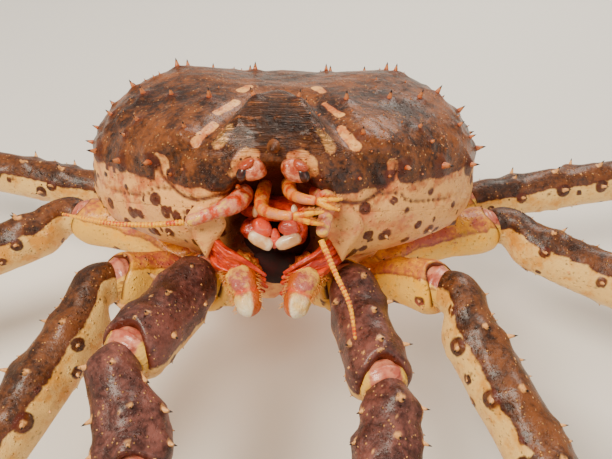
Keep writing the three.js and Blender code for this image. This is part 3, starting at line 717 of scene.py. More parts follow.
class Finish:
    """The start of a material: its patterns, and the shader that closes it."""

    def __init__(self, name):
        self.material = bpy.data.materials.new(name)
        self.material.use_nodes = True
        tree = self.material.node_tree
        tree.nodes.clear()
        self.node = Wire(tree).node
        self.place = self.node("ShaderNodeTexCoord", {}, output="Object")

    def noise(self, scale, detail=3.0, stretch=None):
        """Cloudy values round a half, at so many to the metre."""
        place = self.place
        if stretch:
            place = self.node("ShaderNodeMapping", {"Vector": place, "Scale": stretch})
        sockets = {"Vector": place, "Scale": scale, "Detail": detail, "Roughness": 0.55}
        return self.node("ShaderNodeTexNoise", sockets, output="Fac")

    def cells(self, scale):
        """The distance from the middle of the nearest cell, at so many cells to the metre."""
        return self.node("ShaderNodeTexVoronoi", {"Vector": self.place, "Scale": scale}, output="Distance")

    def mask(self, name):
        """A mask that the piece's mesh carries, or none."""
        return self.node("ShaderNodeAttribute", {}, {"attribute_name": name}, "Fac")

    def close(self, colour, roughness, height, depth, strength, coat, coat_roughness=0.12, soft=0.0):
        """Closes the material with one shader; depth is how high its bumps stand, in metres."""
        bumps = {"Height": height, "Distance": depth, "Strength": strength}
        sockets = {
            "Base Color": colour, "Roughness": roughness, "Normal": self.node("ShaderNodeBump", bumps),
            "Coat Weight": coat, "Coat Roughness": coat_roughness, "IOR": WET_IOR,
            "Subsurface Weight": soft, "Subsurface Radius": BLEED_RADIUS, "Subsurface Scale": BLEED_DEPTH,
        }
        shader = self.node("ShaderNodeBsdfPrincipled", sockets)
        self.node("ShaderNodeOutputMaterial", {"Surface": shader})
        return self.material


def crust_finish(name, deep, brown, cream, blush, root, ring, knob, tip,
                 speckle=1.0, dusk=0.5, pallor=1.0, wrinkle=False):
    """Wet crust, brown above and cream below, with discs round the spines; cream starts at dusk; wrinkle
    sinks creases into the hood and paints shade in them.
    """
    finish = Finish(name)
    broad = finish.noise(34, 4)
    blotch = finish.noise(110, 5)
    fine = finish.noise(480, 4)
    grain = finish.cells(430)
    beads = finish.cells(1100)
    edge = finish.mask("pale") + (blotch - 0.5) * 0.8 + (broad - 0.5) * 0.7
    pale = edge.between(dusk - 0.1, dusk + 0.08)
    dark = (broad * 0.45 + blotch * 0.4 + fine * 0.35).between(0.48, 0.74).mix(deep, brown)
    far = edge.between(dusk + 0.2, dusk + 0.7) * 0.75
    light = (blotch * 0.55 + fine * 0.25 + broad * 0.2 + far * 0.12).between(0.4, 0.6).mix(blush, cream)
    shadow = edge.between(dusk - 0.3, dusk - 0.1) * (1 - pale)
    colour = pale.mix((shadow * 0.45).mix(dark, ring), light)
    freckle = (1 - grain.between(0.13, 0.24)) * blotch.between(0.44, 0.58) * (1 - pale)
    pits = (1 - finish.cells(240).between(0.1, 0.19)) * blotch.between(0.42, 0.5)
    near = 1 - (edge - dusk - 0.16) * (edge - dusk - 0.16) * 6.0
    spots = (1 - finish.cells(95).between(0.13, 0.3)) * pale * broad.between(0.5, 0.62) * speckle
    disc = (finish.mask("ring") * (0.5 + blotch)).between(0.3, 0.8)
    share = finish.mask("tip")
    thorn = ((share + (fine - 0.5) * 0.3).between(0.2, 0.6) * pallor).mix(root, knob)
    layers = (
        (freckle * 0.8, knob),
        (pits * near.between(0.15, 0.75) * speckle * 0.9, deep),
        ((spots * (0.4 + blotch)).between(0.15, 0.9), ring),
        (disc * (0.75 + 0.4 * fine), ring),
        (disc * blotch.between(0.45, 0.6) * 0.6, deep),
        ((finish.mask("knob") * 0.85).between(0.2, 0.8), knob),
        # On the shell the rim mask also carries painted shade inside the front hollow
        (finish.mask("rim").between(0.15, 0.9), ring),
        (finish.mask("shaft"), share.between(0.66, 0.84).mix(thorn, tip)),
    )
    for mask, tint in layers:
        colour = mask.mix(colour, tint)
    height = blotch * 0.5 + fine * 0.25 + (1 - grain.between(0.0, 0.3)) * 0.5
    height = height + (1 - beads.between(0.0, 0.4)) * 0.12
    if wrinkle:
        folds = finish.noise(95, 3, (0.3, 7.0, 7.0))
        # Painted shade: the hood's creases are darkened towards the deepest brown as well as sunk
        shaded_creases = folds.between(0.4, 0.5) * (1 - folds.between(0.52, 0.66)) * finish.mask("hood")
        colour = (shaded_creases * 0.7).mix(colour, deep)
        height = height - shaded_creases * 1.2
    return finish.close(colour, 0.24 + fine * 0.3, height, CRUST_BUMP, 1.0, 0.1)


def flesh_finish(name, dark, light, streak, side=None, scale=160, coat=0.3):
    """Wet flesh or joint skin, with streaks, fine folds and sides of their own colour, if any."""
    finish = Finish(name)
    cloud = finish.noise(scale, 4)
    fine = finish.noise(4 * scale, 3)
    folds = finish.noise(scale, 2, (1.0, 1.0, 4.0))
    colour = cloud.between(0.36, 0.64).mix(dark, light)
    if side:
        colour = (finish.mask("side") + (cloud - 0.5) * 1.2).between(0.3, 0.7).mix(colour, side)
    colour = (folds.between(0.56, 0.7) * 0.6).mix(colour, streak)
    colour = (finish.mask("rim") * 0.9).mix(colour, streak)
    height = cloud * 0.4 + folds * 0.7 + fine * 0.2
    return finish.close(colour, 0.22 + 0.2 * fine, height, FLESH_BUMP, 0.9, coat, 0.08, 0.15)


def tipped_finish(name, root, middle, tip, patch=None, side=None,
                  scale=200, coat=0.2, mottle=0.5, start=0.6, depth=0.001):
    """Feelers, mouth legs and bristles: the colour changes from root to tip."""
    finish = Finish(name)
    cloud = finish.noise(scale, 4)
    fine = finish.noise(5 * scale, 3)
    share = finish.mask("along") + (cloud - 0.5) * mottle
    colour = share.between(0.1, 0.6).mix(root, middle)
    if patch:
        blotch = finish.noise(1.3 * scale, 4)
        patches = (finish.mask("patch") + blotch - 0.5) * 1.5 * blotch
        colour = patches.between(0.25, 0.85).mix(colour, patch)
    colour = share.between(start, start + 0.35).mix(colour, tip)
    if patch:
        colour = (finish.mask("side") * (0.4 + blotch)).between(0.25, 0.85).mix(colour, side)
    colour = (finish.mask("rim") * 0.8).mix(colour, root)
    height = cloud * 0.6 + fine * 0.4
    return finish.close(colour, 0.25 + 0.2 * fine, height, depth, 0.9, coat, 0.1, 0.1)


def plain_gloss(name, dark, light, scale, coat, roughness):
    """Smooth surfaces such as the cornea and the teeth."""
    finish = Finish(name)
    cloud = finish.noise(scale, 3)
    colour = cloud.between(0.35, 0.65).mix(dark, light)
    return finish.close(colour, roughness + 0.1 * cloud, cloud, GLOSS_BUMP, 0.5, coat, 0.04)


# Each finish: its maker, that maker's colours in order, and what else it is given
FINISHES = {
    "shell_crust": (crust_finish, "shell_deep shell_brown cream blush rust ring knob tip",
                    {"pallor": 0.4, "wrinkle": True}),
    "belly_crust": (crust_finish, "ring blush cream flank_pink ring ring knob tip", {}),
    "leg_crust": (crust_finish, "leg_deep leg_brown leg_cream leg_gold knob ring knob tip", {}),
    "arm_crust": (crust_finish, "arm_deep arm_brown leg_cream leg_gold knob ring knob tip", {"speckle": 0.5}),
    "base_crust": (crust_finish, "skin_pink base_gold base_cream base_gold knob ring knob tip",
                   {"speckle": 0.3, "dusk": 0.38}),
    "claw_crust": (crust_finish, "horn arm_brown leg_cream arm_brown knob ring knob tip", {"speckle": 0.3}),
    "joint_flesh": (flesh_finish, "skin_pink skin_light skin_dark base_cream", {}),
    "mouth_flesh": (flesh_finish, "mouth mouth_light mouth_dark", {"scale": 260}),
    "jaw_flesh": (flesh_finish, "mouth_light mouth_pink skin_light", {"scale": 320, "coat": 0.4}),
    "mouth_fold": (flesh_finish, "mouth mouth_light rust", {"scale": 240, "coat": 0.15}),
    "eye_stalk": (flesh_finish, "stalk stalk_light rust", {"scale": 380, "coat": 0.5}),
    # The throat finish is partly dark red flesh and partly painted shade inside the mouth
    "throat": (plain_gloss, "tip mouth_dark", {"scale": 160, "coat": 0.0, "roughness": 0.85}),
    "cornea": (plain_gloss, "eye eye_glint", {"scale": 500, "coat": 0.6, "roughness": 0.25}),
    "tooth": (plain_gloss, "tooth_shade tooth", {"scale": 160, "coat": 0.8, "roughness": 0.2}),
    "antenna": (tipped_finish, "feeler skin_light base_cream", {"scale": 300, "mottle": 3.2}),
    "antennule": (tipped_finish, "feeler feeler_light stalk_light", {"scale": 300, "mottle": 3}),
    "feeler_skin": (tipped_finish, "feeler base_gold feeler_light", {"scale": 260, "mottle": 1.6}),
    "mouth_leg": (tipped_finish, "mouth_light base_cream tooth mouth_mauve mouth_brown",
                  {"start": 0.72, "depth": 0.002}),
    "bristle": (tipped_finish, "mouth_light bristle cream", {"coat": 0.3}),
}


@functools.cache
def material_of(name):
    """A named finish, made when it is first asked for."""
    maker, tints, options = FINISHES[name]
    colours = bpy.context.scene.crab_colours
    return maker(name, *[getattr(colours, tint) for tint in tints.split()], **options)


# Settings that a user would change
COLOURS = {
    # shell_deep also paints the shade in the hood's creases
    "shell_deep": ("#2c1408", "Darkest brown of the shell"),
    "shell_brown": ("#8a4b1e", "Common brown of the shell"),
    "cream": ("#f4b062", "Pale crust under the margin"),
    "blush": ("#c4662f", "Pink brown in the pale crust"),
    "flank_pink": ("#e0804c", "Pink clouds on the flanks"),
    # ring also paints the shade inside the shell's front hollow
    "ring": ("#581c05", "Brown discs round the knobs"),
    "knob": ("#e8a763", "Pale middle of a knob"),
    "rust": ("#a8380a", "Foot of a shell spine"),
    # tip also paints the shade in the throat and the basin under it
    "tip": ("#200b06", "Dark tips of the spines"),
    "leg_deep": ("#30180b", "Darkest brown of the legs"),
    "leg_brown": ("#7b441e", "Common brown of the legs"),
    "leg_cream": ("#f4c674", "Pale side of the legs"),
    "leg_gold": ("#e09a3a", "Gold in the pale side of the legs"),
    "arm_deep": ("#3a1b15", "Darkest purple brown of the arms"),
    "arm_brown": ("#824c42", "Common purple brown of the arms"),
    "base_gold": ("#ffb400", "Gold patches at the roots of the limbs"),
    "base_cream": ("#f6bc4c", "Cream at the roots of the limbs"),
    "skin_pink": ("#b85844", "Pink skin in the joints"),
    "skin_light": ("#e08c6c", "Light pink skin in the joints"),
    "skin_dark": ("#7a2413", "Red brown folds of the joint skin"),
    "eye": ("#150705", "Cornea of the eye"),
    "eye_glint": ("#4c1a0a", "Red brown sheen in the eye"),
    "stalk": ("#b03c14", "Stalk of the eye"),
    "stalk_light": ("#e08c62", "Pale mottles of the eye stalk"),
    "feeler": ("#d4420a", "Orange red of the feelers"),
    "feeler_light": ("#f29028", "Light rings of the feelers"),
    "mouth": ("#a81e0a", "Red flesh of the mouth"),
    # mouth_dark is the dark of the mouth's folds and also paints the shade in the throat and the basin under
    # it
    "mouth_dark": ("#300805", "Dark hollows of the mouth"),
    "mouth_light": ("#e8480f", "Orange of the mouth legs' roots"),
    "mouth_pink": ("#de5c48", "Pink flesh of the jaws"),
    "mouth_mauve": ("#b4584c", "Mauve pink fronts of the mouth legs"),
    "mouth_brown": ("#c4580c", "Orange brown inner sides of the mouth legs"),
    "tooth": ("#fdebc6", "White of the jaws' edges"),
    "tooth_shade": ("#e2a468", "Cream at the foot of the teeth"),
    "bristle": ("#dd8430", "Gold bristles"),
    "horn": ("#1d0c08", "Dark horn of the finger tips"),
    "floor": ("#e9e6e1", "Plain pale floor"),
}


def colour_setting(key, code, description):
    """A colour property with a hexadecimal default."""
    parts = [int(code[k:k + 2], 16) / 255 for k in (1, 3, 5)]
    linear = [part / 12.92 if part <= 0.04045 else ((part + 0.055) / 1.055) ** 2.4 for part in parts]
    return bpy.props.FloatVectorProperty(
        name=key.replace("_", " ").capitalize(), description=description, subtype="COLOR", size=3,
        min=0, max=1, default=linear)


def length_setting(name, description, millimetres):
    """A length property with a default in millimetres."""
    return bpy.props.FloatProperty(
        name=name, description=description, unit="LENGTH", subtype="DISTANCE", default=millimetres * MM)


def count_setting(name, description, default):
    """A property that counts small things."""
    return bpy.props.IntProperty(name=name, description=description, default=default, min=1)


class CrabSizes(bpy.types.PropertyGroup):
    """Sizes and numbers of what is raised on the crust."""

    spine_mound: length_setting("Spine mound", "Height of the swelling at the foot of a spine", 1.6)
    knob_height: length_setting("Knob height", "Height of the small knobs between the spines", 0.9)
    thorn_length: length_setting("Thorn length", "Length of the small thorns between the spines", 2.4)
    joint_bulge: length_setting("Joint bulge", "Half length of the skin that fills a joint", 8.5)
    bristle_length: length_setting("Bristle length", "Length of the mouth legs' bristles", 4.5)
    ring_step: length_setting("Whip ring", "Length of one ring of a long feeler", 1.5)
    shell_knobs: count_setting("Shell knobs", "Small knobs on the shell", 420)
    bristles: count_setting("Bristles", "Bristles on each mouth leg", 320)


class CrabColours(bpy.types.PropertyGroup):
    """Colours of crust, flesh and floor."""

    __annotations__ = {key: colour_setting(key, *entry) for key, entry in COLOURS.items()}


def size_of(key):
    """A size that a user may change, in millimetres."""
    return getattr(bpy.context.scene.crab_sizes, key) / MM


# The length of spine that the swelling's height is given for
COMMON_SPINE = 5.5


def body_surface():
    """The whole body shell as one ball, with its knobs, and the masks of its colours and of the painted shade
    in its front hollow.
    """
    random = np.random.default_rng(SEEDS["shell"])
    plan = [(turn, rise, side, size) for plans in (SHELL_PLAN, FLANK_PLAN)
            for side in plans for turn, rise, size in plans[side]]
    roots = np.array([shell_point(*spine[:3]) for spine in plan])
    spine_sizes = np.array([size for *_, size in plan])
    count = bpy.context.scene.crab_sizes.shell_knobs
    turns = random.uniform(8, 172, count)
    rises = np.degrees(np.arcsin(random.uniform(-0.5, 0.97, count)))
    knob_sides = random.choice([-1, 1], count)
    knobs = np.array([shell_point(*knob) for knob in zip(turns, rises, knob_sides)])
    knob_sizes = random.uniform(0.35, 1.0, count)

    def place(points):
        x, y, z = points.T
        level = np.hypot(x, y)
        power = 1 / BOXINESS
        climb = np.arctan2(np.abs(z) ** power, np.maximum(level, 1e-9) ** power)
        flat = np.cos(climb) / np.maximum(level, 1e-9)
        height = np.sign(z) * np.sin(climb)
        surface, outside = body_points(x * flat, y * flat, height)
        turn = np.degrees(np.abs(np.arctan2(x, -y)))
        normal = unit(surface * np.array([1 / HALF_WIDTH, 1 / FRONT_LENGTH, 1.2 / DOME_HEIGHT]))
        seam = seam_height(surface)
        folded = np.abs(surface) * (1, 0, 0) + surface * (0, 1, 1)
        red_seam = beside_lines(folded, SEAM_LINES)
        swellings = size_of("spine_mound") * spine_sizes / COMMON_SPINE
        raised = mounds(surface, roots, swellings, 0.75 * spine_sizes)
        raised += mounds(surface, knobs, size_of("knob_height") * knob_sizes, 1.3 + 1.5 * knob_sizes)
        raised += 0.5 * ripple(surface, 14.0) + 0.25 * ripple(surface, 5.0)
        raised -= 1.1 * bump(red_seam, 1.3)
        rim = scoop_value(surface)
        in_front = surface[:, 1] < -40
        raised += 1.6 * bump(rim - 1.1, 0.1) * in_front
        # Painted shade: inside the hollow before the eyes and mouth the shell is darkened to the ring brown
        hollow = 0.8 * (1 - smooth(rim + 0.012 * ripple(surface, 6.0), 0.7, 0.98)) * in_front
        surface = surface + normal * raised[:, None]
        across = np.abs(surface[:, 0])
        from_eye = np.hypot(across - 9.5, surface[:, 2] - 23)
        orbit = 0.74 * bump(from_eye - 6.0, 3.0) * smooth(across + 0.5 * surface[:, 2], 16, 21)
        beside_eye = 0.6 * bump(np.hypot(across - 17, surface[:, 2] - 20), 4.5)
        orbit = np.maximum(orbit, beside_eye) * (surface[:, 1] < -60)
        strokes = np.max([strength * bump(beside_lines(folded, (line,)), width)
                          for line, width, strength in STROKES], axis=0)
        low = rises < 6
        disc_sizes = np.concatenate([0.85 * spine_sizes, 0.8 + 2.6 * knob_sizes[low] ** 2])
        ring, knob = rings(surface, np.vstack([roots, knobs[low]]), disc_sizes)
        margin = 1 - smooth(surface[:, 2] + 7 * smooth(turn, 80, 130), 6, 18)
        below = smooth(-seam, -1, 2)
        pale = np.clip(np.maximum.reduce([margin, strokes, orbit, below]), 0, 1)
        hood = (1 - smooth(outside, -10, 0)) * smooth(surface[:, 2], 25, 38)
        # The rim mask holds the red seams, the shell's own colour, and the painted shade inside the hollow
        rim = np.maximum(0.9 * bump(red_seam, 1.3), hollow)
        ring, knob = ring * (0.55 + 0.45 * pale), 0.6 * knob * ring
        return to_row(scooped(surface)), {"pale": pale, "ring": ring, "knob": knob, "hood": hood, "rim": rim}
    return ball(SHELL_COLUMNS, SHELL_ROWS, place), plan, (turns, rises, knob_sides, knob_sizes)


def seam_height(points):
    """Millimetres above the seam between carapace and flanks."""
    slope = SEAM["slope"]
    return (points[:, 1] - SEAM["y"]) * math.sin(slope) + (points[:, 2] - SEAM["z"]) * math.cos(slope)


def scoop_value(points):
    """Below one inside the hollow that holds eyes and mouth, seen from the front."""
    wide, _, high = SCOOP["radii"]
    return np.hypot(points[:, 0] / wide, (points[:, 2] - SCOOP["z"]) / high)


def scooped(points):
    """Points in front of the hollow's rear wall go back to it."""
    wall = SCOOP["y"] + SCOOP["radii"][1] * np.sqrt(np.clip(1 - scoop_value(points) ** 2, 0, 1))
    inside = (scoop_value(points) < 1) & (points[:, 1] < wall)
    return np.where(inside[:, None], np.stack([points[:, 0], wall, points[:, 2]], axis=1), points)


def cut_off(mesh, point, normal):
    """A closed copy of the mesh with what lies on the normal's side of a plane cut away."""
    shape = bmesh.new()
    shape.from_mesh(mesh)
    whole = [*shape.verts, *shape.edges, *shape.faces]
    centre, way_out = Vector(to_row(np.array(point, float)) * MM), Vector(turn_to_row(normal))
    bmesh.ops.bisect_plane(shape, geom=whole, plane_co=centre, plane_no=way_out, clear_outer=True)
    rim = [edge for edge in shape.edges if edge.is_boundary]
    bmesh.ops.holes_fill(shape, edges=rim, sides=0)
    bmesh.ops.recalc_face_normals(shape, faces=shape.faces)
    return mesh_of(shape, "part")


class CRAB_OT_shell(bpy.types.Operator):
    """Carapace and the two flanks, with their spines and the snout"""

    bl_idname = "crab.shell"
    bl_label = "Shell"

    def execute(self, context):
        surface, plan, thorns = body_surface()
        slope = SEAM["slope"]
        above = (0, math.sin(slope), math.cos(slope))
        seam = (0, SEAM["y"], SEAM["z"])
        carapace = cut_off(surface, seam, [-part for part in above])
        lower = cut_off(surface, seam, above)
        halves = {side: cut_off(lower, (0.5 * side * GAP, 0, 0), (-side, 0, 0)) for side, _ in SIDES}
        bpy.data.meshes.remove(surface)
        bpy.data.meshes.remove(lower)
        upper = [spine for spine in plan if spine[1] > FLANK_RISE]
        tall = size_of("thorn_length")
        extra = [(*spot, tall * size) for *spot, size in zip(*thorns) if spot[1] > 2 and size > 0.72]
        snout = cones(*self.snout(), around=14, pale=0.1, shaft=0.25)
        pieces = [carapace, self.spines(upper), self.spines(extra), snout]
        crust_piece("carapace", pieces, "shell_crust", "shell")
        for side, name in SIDES:
            low = [spine for spine in plan if spine[1] <= FLANK_RISE and spine[2] == side]
            lobe_place = (side * 29.5, -78.6, -7)
            lobe = ellipsoid(lobe_place, (9.5, 4.2, 12.5), 48, 36, rough=0.8, taper=0.2, pale=1)
            crust_piece(f"flank_{name}", [halves[side], self.spines(low), lobe], "belly_crust", "belly")
        return {"FINISHED"}

    def spines(self, plan):
        """Cones on the shell where the plan has them."""
        roots = to_row(np.array([shell_point(*spine[:3]) for spine in plan]))
        ways = turn_to_row(np.array([shell_way(*spine[:3]) for spine in plan]))
        lengths = np.array([size for *_, size in plan])
        return cones(roots - ways * 0.15 * lengths[:, None], ways, 1.15 * lengths, 0.4 * lengths)

    def snout(self):
        """Roots, ways, lengths and radii of the snout's spines."""
        roots = to_row(np.array([root for root, *_ in SNOUT], float))
        ways = turn_to_row(unit([direction for _, direction, _ in SNOUT]))
        lengths = np.array([float(size) for *_, size in SNOUT])
        return roots - ways * 0.3 * lengths[:, None], ways, 1.3 * lengths, 0.4 * lengths


class CRAB_OT_underside(bpy.types.Operator):
    """Breastplate and the tail folded under the body"""

    bl_idname = "crab.underside"
    bl_label = "Underside"

    def execute(self, context):
        rows = [(0, 0), (0, 0.5), *[(s, 1) for s in np.linspace(0, 1, 14)],
                (1, 0.75), (1, 0.5), (1, 0.25), (1, 0)]

        def plate(angle, share, out):
            points = plate_point(angle, share)
            centre = np.array([0, PLATE["y"], 0])
            level = np.outer(1 - out, UP) * points[:, 2:]
            points = centre * (1 - out)[:, None] + points * out[:, None] + level
            swell = 1.6 * np.abs(np.sin(angle * 4)) ** 0.5 * out - 1.2 * bump(points[:, 0], 1.5)
            return to_row(points - UP * (swell * share)[:, None]), {"pale": 0.9}
        crust_piece("breastplate", [rolled(rows, 96, plate)], "belly_crust", "belly")

        def tail(points):
            x, y, z = points.T
            wide, long, high = TAIL["radii"]
            narrow = 0.5 + 0.5 * smooth(y, -0.9, 0.2)
            steps = np.cos(y * 3.5 * math.pi)
            groove = 1 - 0.03 * np.exp(-((1 - np.abs(steps)) / 0.12) ** 2) * (z < 0.2)
            deep = TAIL["z"] + high * z * groove
            place = np.stack([wide * x * narrow * groove, TAIL["y"] + long * y, deep], axis=1)
            return to_row(place), {"pale": 0.9, "rim": 0.3 * bump(np.abs(steps) - 1, 0.05)}
        crust_piece("tail", [ball(96, 90, tail)], "belly_crust", "belly")
        return {"FINISHED"}


def crust_limb(limb, side, seed, knobs=26, shade=(0.4, 0.45), pale_from=-0.1, pale_to=0.75, around=64):
    """A segment's crust with its knobs, notched far end and spines."""
    random = np.random.default_rng(seed)
    count = max(int(limb.length / ROW_STEP), 12)
    cup = 3.0 / limb.length
    rows = [(0, 0), (0, 0.6), *[(s, 1) for s in np.linspace(0, 1, count)], (1, 0.85), (1, 0.5), (1, 0)]
    spine_shares = np.array([share for share, *_ in limb.spines])
    spine_angles = np.array([angle for _, angle, _ in limb.spines])
    spine_sizes = np.array([size for *_, size in limb.spines])
    shares = random.uniform(0.06, 0.94, knobs)
    angles = random.uniform(0, 2 * math.pi, knobs)
    knob_sizes = random.uniform(0.4, 1.0, knobs) * min(limb.radius / 12, 1)
    knob_roots = limb.point(shares, angles)
    spine_roots = limb.point(spine_shares, spine_angles, 0.96) if len(limb.spines) else np.zeros((0, 3))
    notch = 6.0 / limb.length if limb.kind in LEG_NECKS else 0.0

    def place(angle, share, out):
        over = np.degrees(np.abs((angle - math.pi / 2 + math.pi) % (2 * math.pi) - math.pi))
        pulled = share - notch * bump(over, 42) * smooth(share, 0.82, 1) - cup * (1 - out) * (share > 0.5)
        points = limb.point(pulled, angle, 1.0)
        centre, tangent, across, upward = limb.frame(pulled)
        outward = unit(across * np.cos(angle)[:, None] + upward * np.sin(angle)[:, None])
        swellings = size_of("spine_mound") * spine_sizes / COMMON_SPINE
        raised = mounds(points, spine_roots, swellings, 0.8 * spine_sizes)
        raised += mounds(points, knob_roots, size_of("knob_height") * knob_sizes, 1.4 + 1.4 * knob_sizes)
        raised += 0.35 * ripple(points, 9.0) + 0.3 * np.cos(3 * (angle - math.pi / 2)) * (limb.radius / 13)
        taper = smooth(np.minimum(share, 1 - share) * limb.length, -2.5, 2.5)
        body = points + outward * (raised * taper)[:, None]
        body = centre + (body - centre) * (out * (0.86 + 0.14 * taper))[:, None]
        body[:, 2] = np.maximum(body[:, 2], 0)
        dark = outward[:, 2] + shade[0] * side * outward[:, 0] + shade[1] * outward[:, 1]
        pale = 1 - smooth(dark, pale_from, pale_to)
        disc_sizes = np.concatenate([0.68 * spine_sizes, 1.2 + 1.4 * knob_sizes[::3]])
        ring, knob = rings(points, np.vstack([spine_roots, knob_roots[::3]]), disc_sizes)
        ring = ring * (0.25 + 0.75 * smooth(pale, 0.02, 0.4))
        rim = 0.8 * smooth(share, 0.965, 0.99) * (over < 100)
        return body, {"pale": pale, "ring": ring, "knob": 0.9 * knob, "rim": rim}
    meshes = [rolled(rows, around, place)]
    if len(limb.spines):
        ways = limb.outward(spine_shares, spine_angles)
        feet = spine_roots - ways * 0.1 * spine_sizes[:, None]
        meshes.append(cones(feet, ways, 1.12 * spine_sizes, 0.34 * spine_sizes))
    small = np.flatnonzero(knob_sizes > 0.7)
    if len(small) and limb.kind != "dactyl":
        ways = limb.outward(shares[small], angles[small])
        tall = size_of("thorn_length") * knob_sizes[small]
        meshes.append(cones(knob_roots[small], ways, tall, 0.4 * tall))
    return meshes


def joint_skin(limb, following):
    """The skin that bulges between a segment and the next."""
    centre, tangent, across, upward = (part[0] for part in limb.frame(1))
    centre = centre - tangent * 3.0
    wide, high = (0.88 * min(a[0], b[0] * 1.25) for a, b in zip(
        limb.half_sizes(np.array([0.97])), following.half_sizes(np.array([0.12]))))
    half = size_of("joint_bulge")

    def place(points):
        x, y, z = points.T
        folds = 1 + 0.035 * np.sin(z * 14) * (1 - z ** 2)
        placed = (centre + across * (wide * x * folds)[:, None] + upward * (high * y * folds)[:, None]
                  + tangent * (half * z)[:, None])
        return placed, {"rim": 0.7 * bump(np.abs(z) - 0.75, 0.18), "side": smooth(np.abs(x), 0.4, 0.8)}
    return ball(40, 26, place)


def fill_joints(name, limbs):
    """The skin in the joints of one limb, as one piece."""
    skins = [joint_skin(*pair) for pair in zip(limbs, limbs[1:])]
    finish_piece(f"{name}_joint_skin", skins, "joint_flesh", "joint")


# Small knobs on each segment of a walking leg
LEG_KNOBS = {"base": 12, "merus": 60, "carpus": 26, "propodus": 44, "dactyl": 16}
ARM_NODES = ("base", "merus", "carpus", "palm", "fixed_finger", "moving_finger")


class CRAB_OT_walking_legs(bpy.types.Operator):
    """Six walking legs, each of five segments with skin in its joints"""

    bl_idname = "crab.walking_legs"
    bl_label = "Walking legs"

    def execute(self, context):
        seed = SEEDS["legs"]
        for side, side_name in SIDES:
            for leg in LEG_NAMES:
                name = f"{leg}_{side_name}"
                limbs = leg_limbs(leg, side)
                for limb in limbs:
                    seed += 1
                    around = 40 if limb.kind == "dactyl" else 64
                    meshes = crust_limb(limb, side, seed, LEG_KNOBS[limb.kind], around=around)
                    looks = ("base_crust", "joint") if limb.kind == "base" else ("leg_crust", "limb")
                    crust_piece(f"{name}_{limb.kind}", meshes, *looks)
                fill_joints(name, limbs)
        return {"FINISHED"}


class CRAB_OT_clawed_arms(bpy.types.Operator):
    """Two clawed arms with fingers and blunt teeth"""

    bl_idname = "crab.clawed_arms"
    bl_label = "Clawed arms"

    def execute(self, context):
        seed = SEEDS["arms"]
        for name, arm in ARMS.items():
            limbs = arm_limbs(name)
            for limb, node in zip(limbs, ARM_NODES):
                seed += 1
                self.segment(limb, arm["side"], f"arm_{name}_{node}", seed)
            fill_joints(f"arm_{name}", limbs[:4])
        return {"FINISHED"}

    def segment(self, limb, side, node, seed):
        """One segment or finger in place of its solid."""
        if limb.kind == "base":
            crust_piece(node, crust_limb(limb, side, seed, 8), "base_crust", "joint")
        elif limb.kind == "finger":
            meshes = crust_limb(limb, side, seed, 12, pale_from=-1.6, pale_to=0.6, around=44)
            inner_edge = -1 if node.endswith("moving_finger") else 1
            meshes.append(painted(self.teeth(limb, inner_edge), 1))
            crust_piece(node, meshes, "claw_crust tooth", "claw")
        else:
            meshes = crust_limb(limb, side, seed, 46, (0.3, 0.3), -0.95, -0.15)
            crust_piece(node, meshes, "arm_crust", "limb")

    def teeth(self, limb, edge):
        """Blunt teeth along the inner edge of a finger."""
        shares = np.linspace(0.16, 0.8, 12)
        angles = np.full(12, edge * math.pi / 2)
        roots = limb.point(shares, angles, 0.86)
        centre = limb.frame(shares)[0]
        tall = 2.6 - 1.4 * shares
        return cones(roots, unit(roots - centre), tall, 0.62 * tall, 10,
                     ((0, 0), (0, 1), (0.5, 0.9), (0.85, 0.55), (1, 0)))


class CRAB_OT_eyes(bpy.types.Operator):
    """Two stalked eyes with dark corneas"""

    bl_idname = "crab.eyes"
    bl_label = "Eyes"

    def execute(self, context):
        for side, name in SIDES:
            stalk = Cord(mirrored(EYE_STALK, side), (4.4, 4.2, 4.4))
            centre = mirrored(EYE, side)
            lid = ellipsoid(centre + (0, 1.0, 0.2), (5.6, 5.2, 4.4), 40, 28, 1.3, 0.8, 14 * side)
            brow_place = centre + (2.2 * side, -0.6, 2.4)
            brow = ellipsoid(brow_place, (3.6, 4.2, 1.9), 32, 20, 0.6, 0.9, 30 * side, rim=1)
            cornea_place = centre + (3.4 * side, -1.2, -0.9)
            cornea = ellipsoid(cornea_place, (2.5, 3.3, 3.6), square=0.9, tilt=-30 * side)
            meshes = [stalk.tube(24, 0.8), lid, brow, painted(cornea, 1)]
            finish_piece(f"eye_{name}_ball", meshes, "eye_stalk cornea", "eye", f"eye_{name}")
        return {"FINISHED"}


